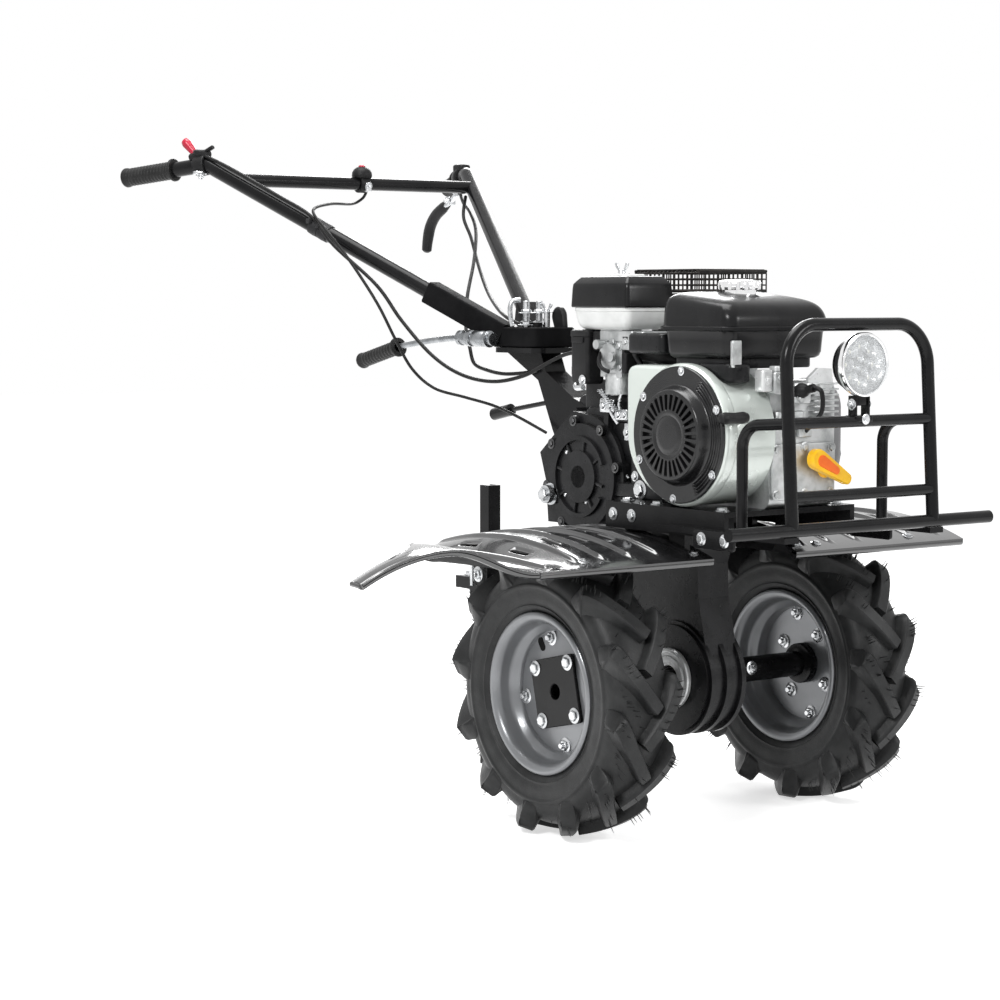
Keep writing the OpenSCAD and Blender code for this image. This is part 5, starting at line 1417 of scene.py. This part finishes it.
for hubName, hubSide in wheels.items():
    makeHub(hubName, hubSide, hubShape)

sealProfile = [(20, 0), (44, 0), (45.5, 1.5), (45.5, 6), (44, 8), (41, 8.6), (39, 6.6), (35, 6.6), (33, 8.6), (27, 8.6),
               (25, 6.6), (20, 6.6)]
makePiece("axle_seal_ring", [turned(sealProfile, (0, -30, 207), toRight, 72, True)], "sealBright", "axle_seal", 30)
print("stage: hubs")

# Starter grip, lamp bracket, and tank tray with dark blocks of painted shade

handleShape = {"wires": [([(241, y, 606) for y in (-151, -140, -126, -112, -101)],
                          ([0, 0.06, 0.2, 0.5, 0.8, 0.94, 1], [4, 7, 8.6, 7.6, 8.6, 7, 4]), 18),
                         ([(226, -126, 606), (232, -126, 606), (238, -126, 606)], 5.0, 14)]}
makePiece("starter_handle", fittings(handleShape), "plasticBlack", "starter_grip", 40)

bracketLow, bracketHigh = ((np.array(corner) - groundMid) * 1000 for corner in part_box("lamp_bracket"))


def makeBracket(low, high):
    # a saddle on the rail, two upright ears and a cross bolt
    x, y, _ = (low + high) / 2
    foot, top = low[2], high[2]
    ears = {"boxes": [((low[0], low[1], foot - 1), (high[0], high[1], foot + 8), 2, 4),
                      ((x - 8, y - 14, foot + 6), (x + 8, y - 10, top), 1.2, 2),
                      ((x - 8, y + 10, foot + 6), (x + 8, y + 14, top), 1.2, 2),
                      ((x - 6, y - 10, top - 14), (x + 6, y + 10, top), 2, 3)]}
    bolts = {"studs": [(toRight, 5.0, [(x, y - 14, top - 12)]), (toLeft, 5.0, [(x, y + 14, top - 12)])],
             "bolts": [(toFront, 4.6, [(high[0], y, foot + 3)])]}
    makePiece("lamp_ears", fittings(ears), "blackPaint", "lamp_bracket", 32)
    makePiece("lamp_bolts", fittings(bolts), "zinc")


makeBracket(bracketLow, bracketHigh)
# the first block is the tank tray, which also darkens the gap under the tank as painted shade; the other three are dark
# blocks of painted shade: a wedge on the housing top under the tank, and two backing pieces that fill the gaps behind
# and beside the carburettor
trayAndShadeShape = {"boxes": [((76, -96, 672), (196, 66, 688), 3, 12), ((140, -108, 652), (214, -66, 680), 6, 12),
                       ((-118, -46, 598), (36, -38, 704), 3, 8, 1), ((-20, -104, 690), (62, -40, 720), 6, 10)]}
stripShape = {"boxes": [((196, -104, 674), (213, -86, 677), 0.8, 2), ((208, -104, 674), (212, -86, 712), 0.8, 2, 0)]}
makePiece("tank_tray_and_shade", fittings(trayAndShadeShape), "caseBlack", sharp=32)
makePiece("tank_strip", fittings(stripShape), "alloyCast", sharp=32)
print("stage: handle, bracket and tray")

# Left side and rear: belt guard, case lid, far seal, exhaust end, hitch pin and column bolts

beltShape = {"middles": [(150, 545), (150, 611), (-165, 526)], "radii": [44.0, 44.0, 62.0], "steps": 240,
             "levels": [(2, 88), (0, 90), (0, 117), (1.6, 123.5), (5, 128.4), (10, 131), (22, 131), (25, 128.4),
                        (28, 127), (40, 127)],
             "bolts": [70, 0, -65, 125, 180, 235], "boltInset": 16.0, "boltFace": 131.1, "boltHalf": 5.6,
             "louvres": [-120, -92, -64, -36, -8, 20, 48, 76, 104], "louvreHeight": 560, "louvreLean": 0.13,
             "louvre": [(-8, 126.5, -26), (-3, 126.5, 0), (2, 126.5, 26)], "louvreRadius": 4.0,
             "posts": {"turned": [([(0, 60), (8, 60), (8, 90), (0, 90)], (x, 0, 526), toLeft, 24)
                                  for x in (-205, -125)]}}


def beltOutline(s, inset, angle):
    # in each direction the furthest point of three circles, drawn in by the inset
    away = np.column_stack([np.cos(angle), np.sin(angle)])
    middles, radii = np.array(s["middles"], float), np.array(s["radii"])
    pick = (middles @ away.T + radii[:, None]).argmax(0)
    return middles[pick] + (radii[pick] - inset)[:, None] * away


def makeBeltGuard(s):
    # outlines stacked outwards by inset and height, with leaning rods as louvres
    angle = around(s["steps"])
    rings = [np.insert(beltOutline(s, inset, angle), 1, y, axis=1) for inset, y in s["levels"]]
    parts = [capped(row(np.array(rings))), *fittings(s["posts"])]
    for x in s["louvres"]:
        line = np.array(s["louvre"]) + (x, 0, s["louvreHeight"] + s["louvreLean"] * x)
        parts.append(wire(line, s["louvreRadius"], 12, 8, toLeft))
    makePiece("belt_guard_cover", parts, "beltGrey", "belt_guard", 32)
    places = np.insert(beltOutline(s, s["boltInset"], np.radians(s["bolts"])), 1, s["boltFace"], axis=1)
    makePiece("belt_guard_bolts", fittings({"bolts": [(toLeft, s["boltHalf"], places)]}), "zinc")


makeBeltGuard(beltShape)

lidShape = {"turned": [([(0, 0), (82, 0), (82, 6), (79, 9), (52, 9), (48, 13), (22, 13), (18, 10.5), (0, 10.5)],
                        (-165, 59.5, 500), toLeft, 64)]}
exhaustShape = {"turned": [([(11, -4), (14, -4), (14, 17), (13, 19), (11.4, 19), (11, 17)], (-126, 92, 742), toRear, 36,
                            True)]}
rearShape = {
    "turned": [([(0, -21), (6, -21), (7, -19), (7, 10), (12.5, 10), (12.5, 15), (10, 18), (0, 18)], (-548, 0, 300),
                toTop, 32)],
    "bolts": [(toLeft, 5.4, ringPlaces(caseMid, 67, 68.6, np.radians(22 + 60 * np.arange(6)))),
              (toLeft, 8.0, [(-498, 24.1, 318)]),
              ((-0.633, 0, 0.774), 6.0, [(-267.5, -38, 552.75), (-267.5, 38, 552.75), (-226.5, -38, 586.25),
                                         (-226.5, 38, 586.25)])],
    "studs": [(toRight, 8.0, [(-498, -24.1, 318)])],
    "wires": [([(-498, -37, 300), (-498, -37, 318), (-498, -37, 336)], 3.2, 12)],
}
makePiece("case_lid", fittings(lidShape), "caseBlack", sharp=32)
makePiece("axle_seal_far", [turned(sealProfile, (0, 45, 207), toLeft, 72, True)], "sealBright", sharp=30)
makePiece("exhaust_end", fittings(exhaustShape), "mufflerDark", sharp=32)
makePiece("rear_fittings", fittings(rearShape), "zinc", sharp=32)
print("stage: left side and rear")
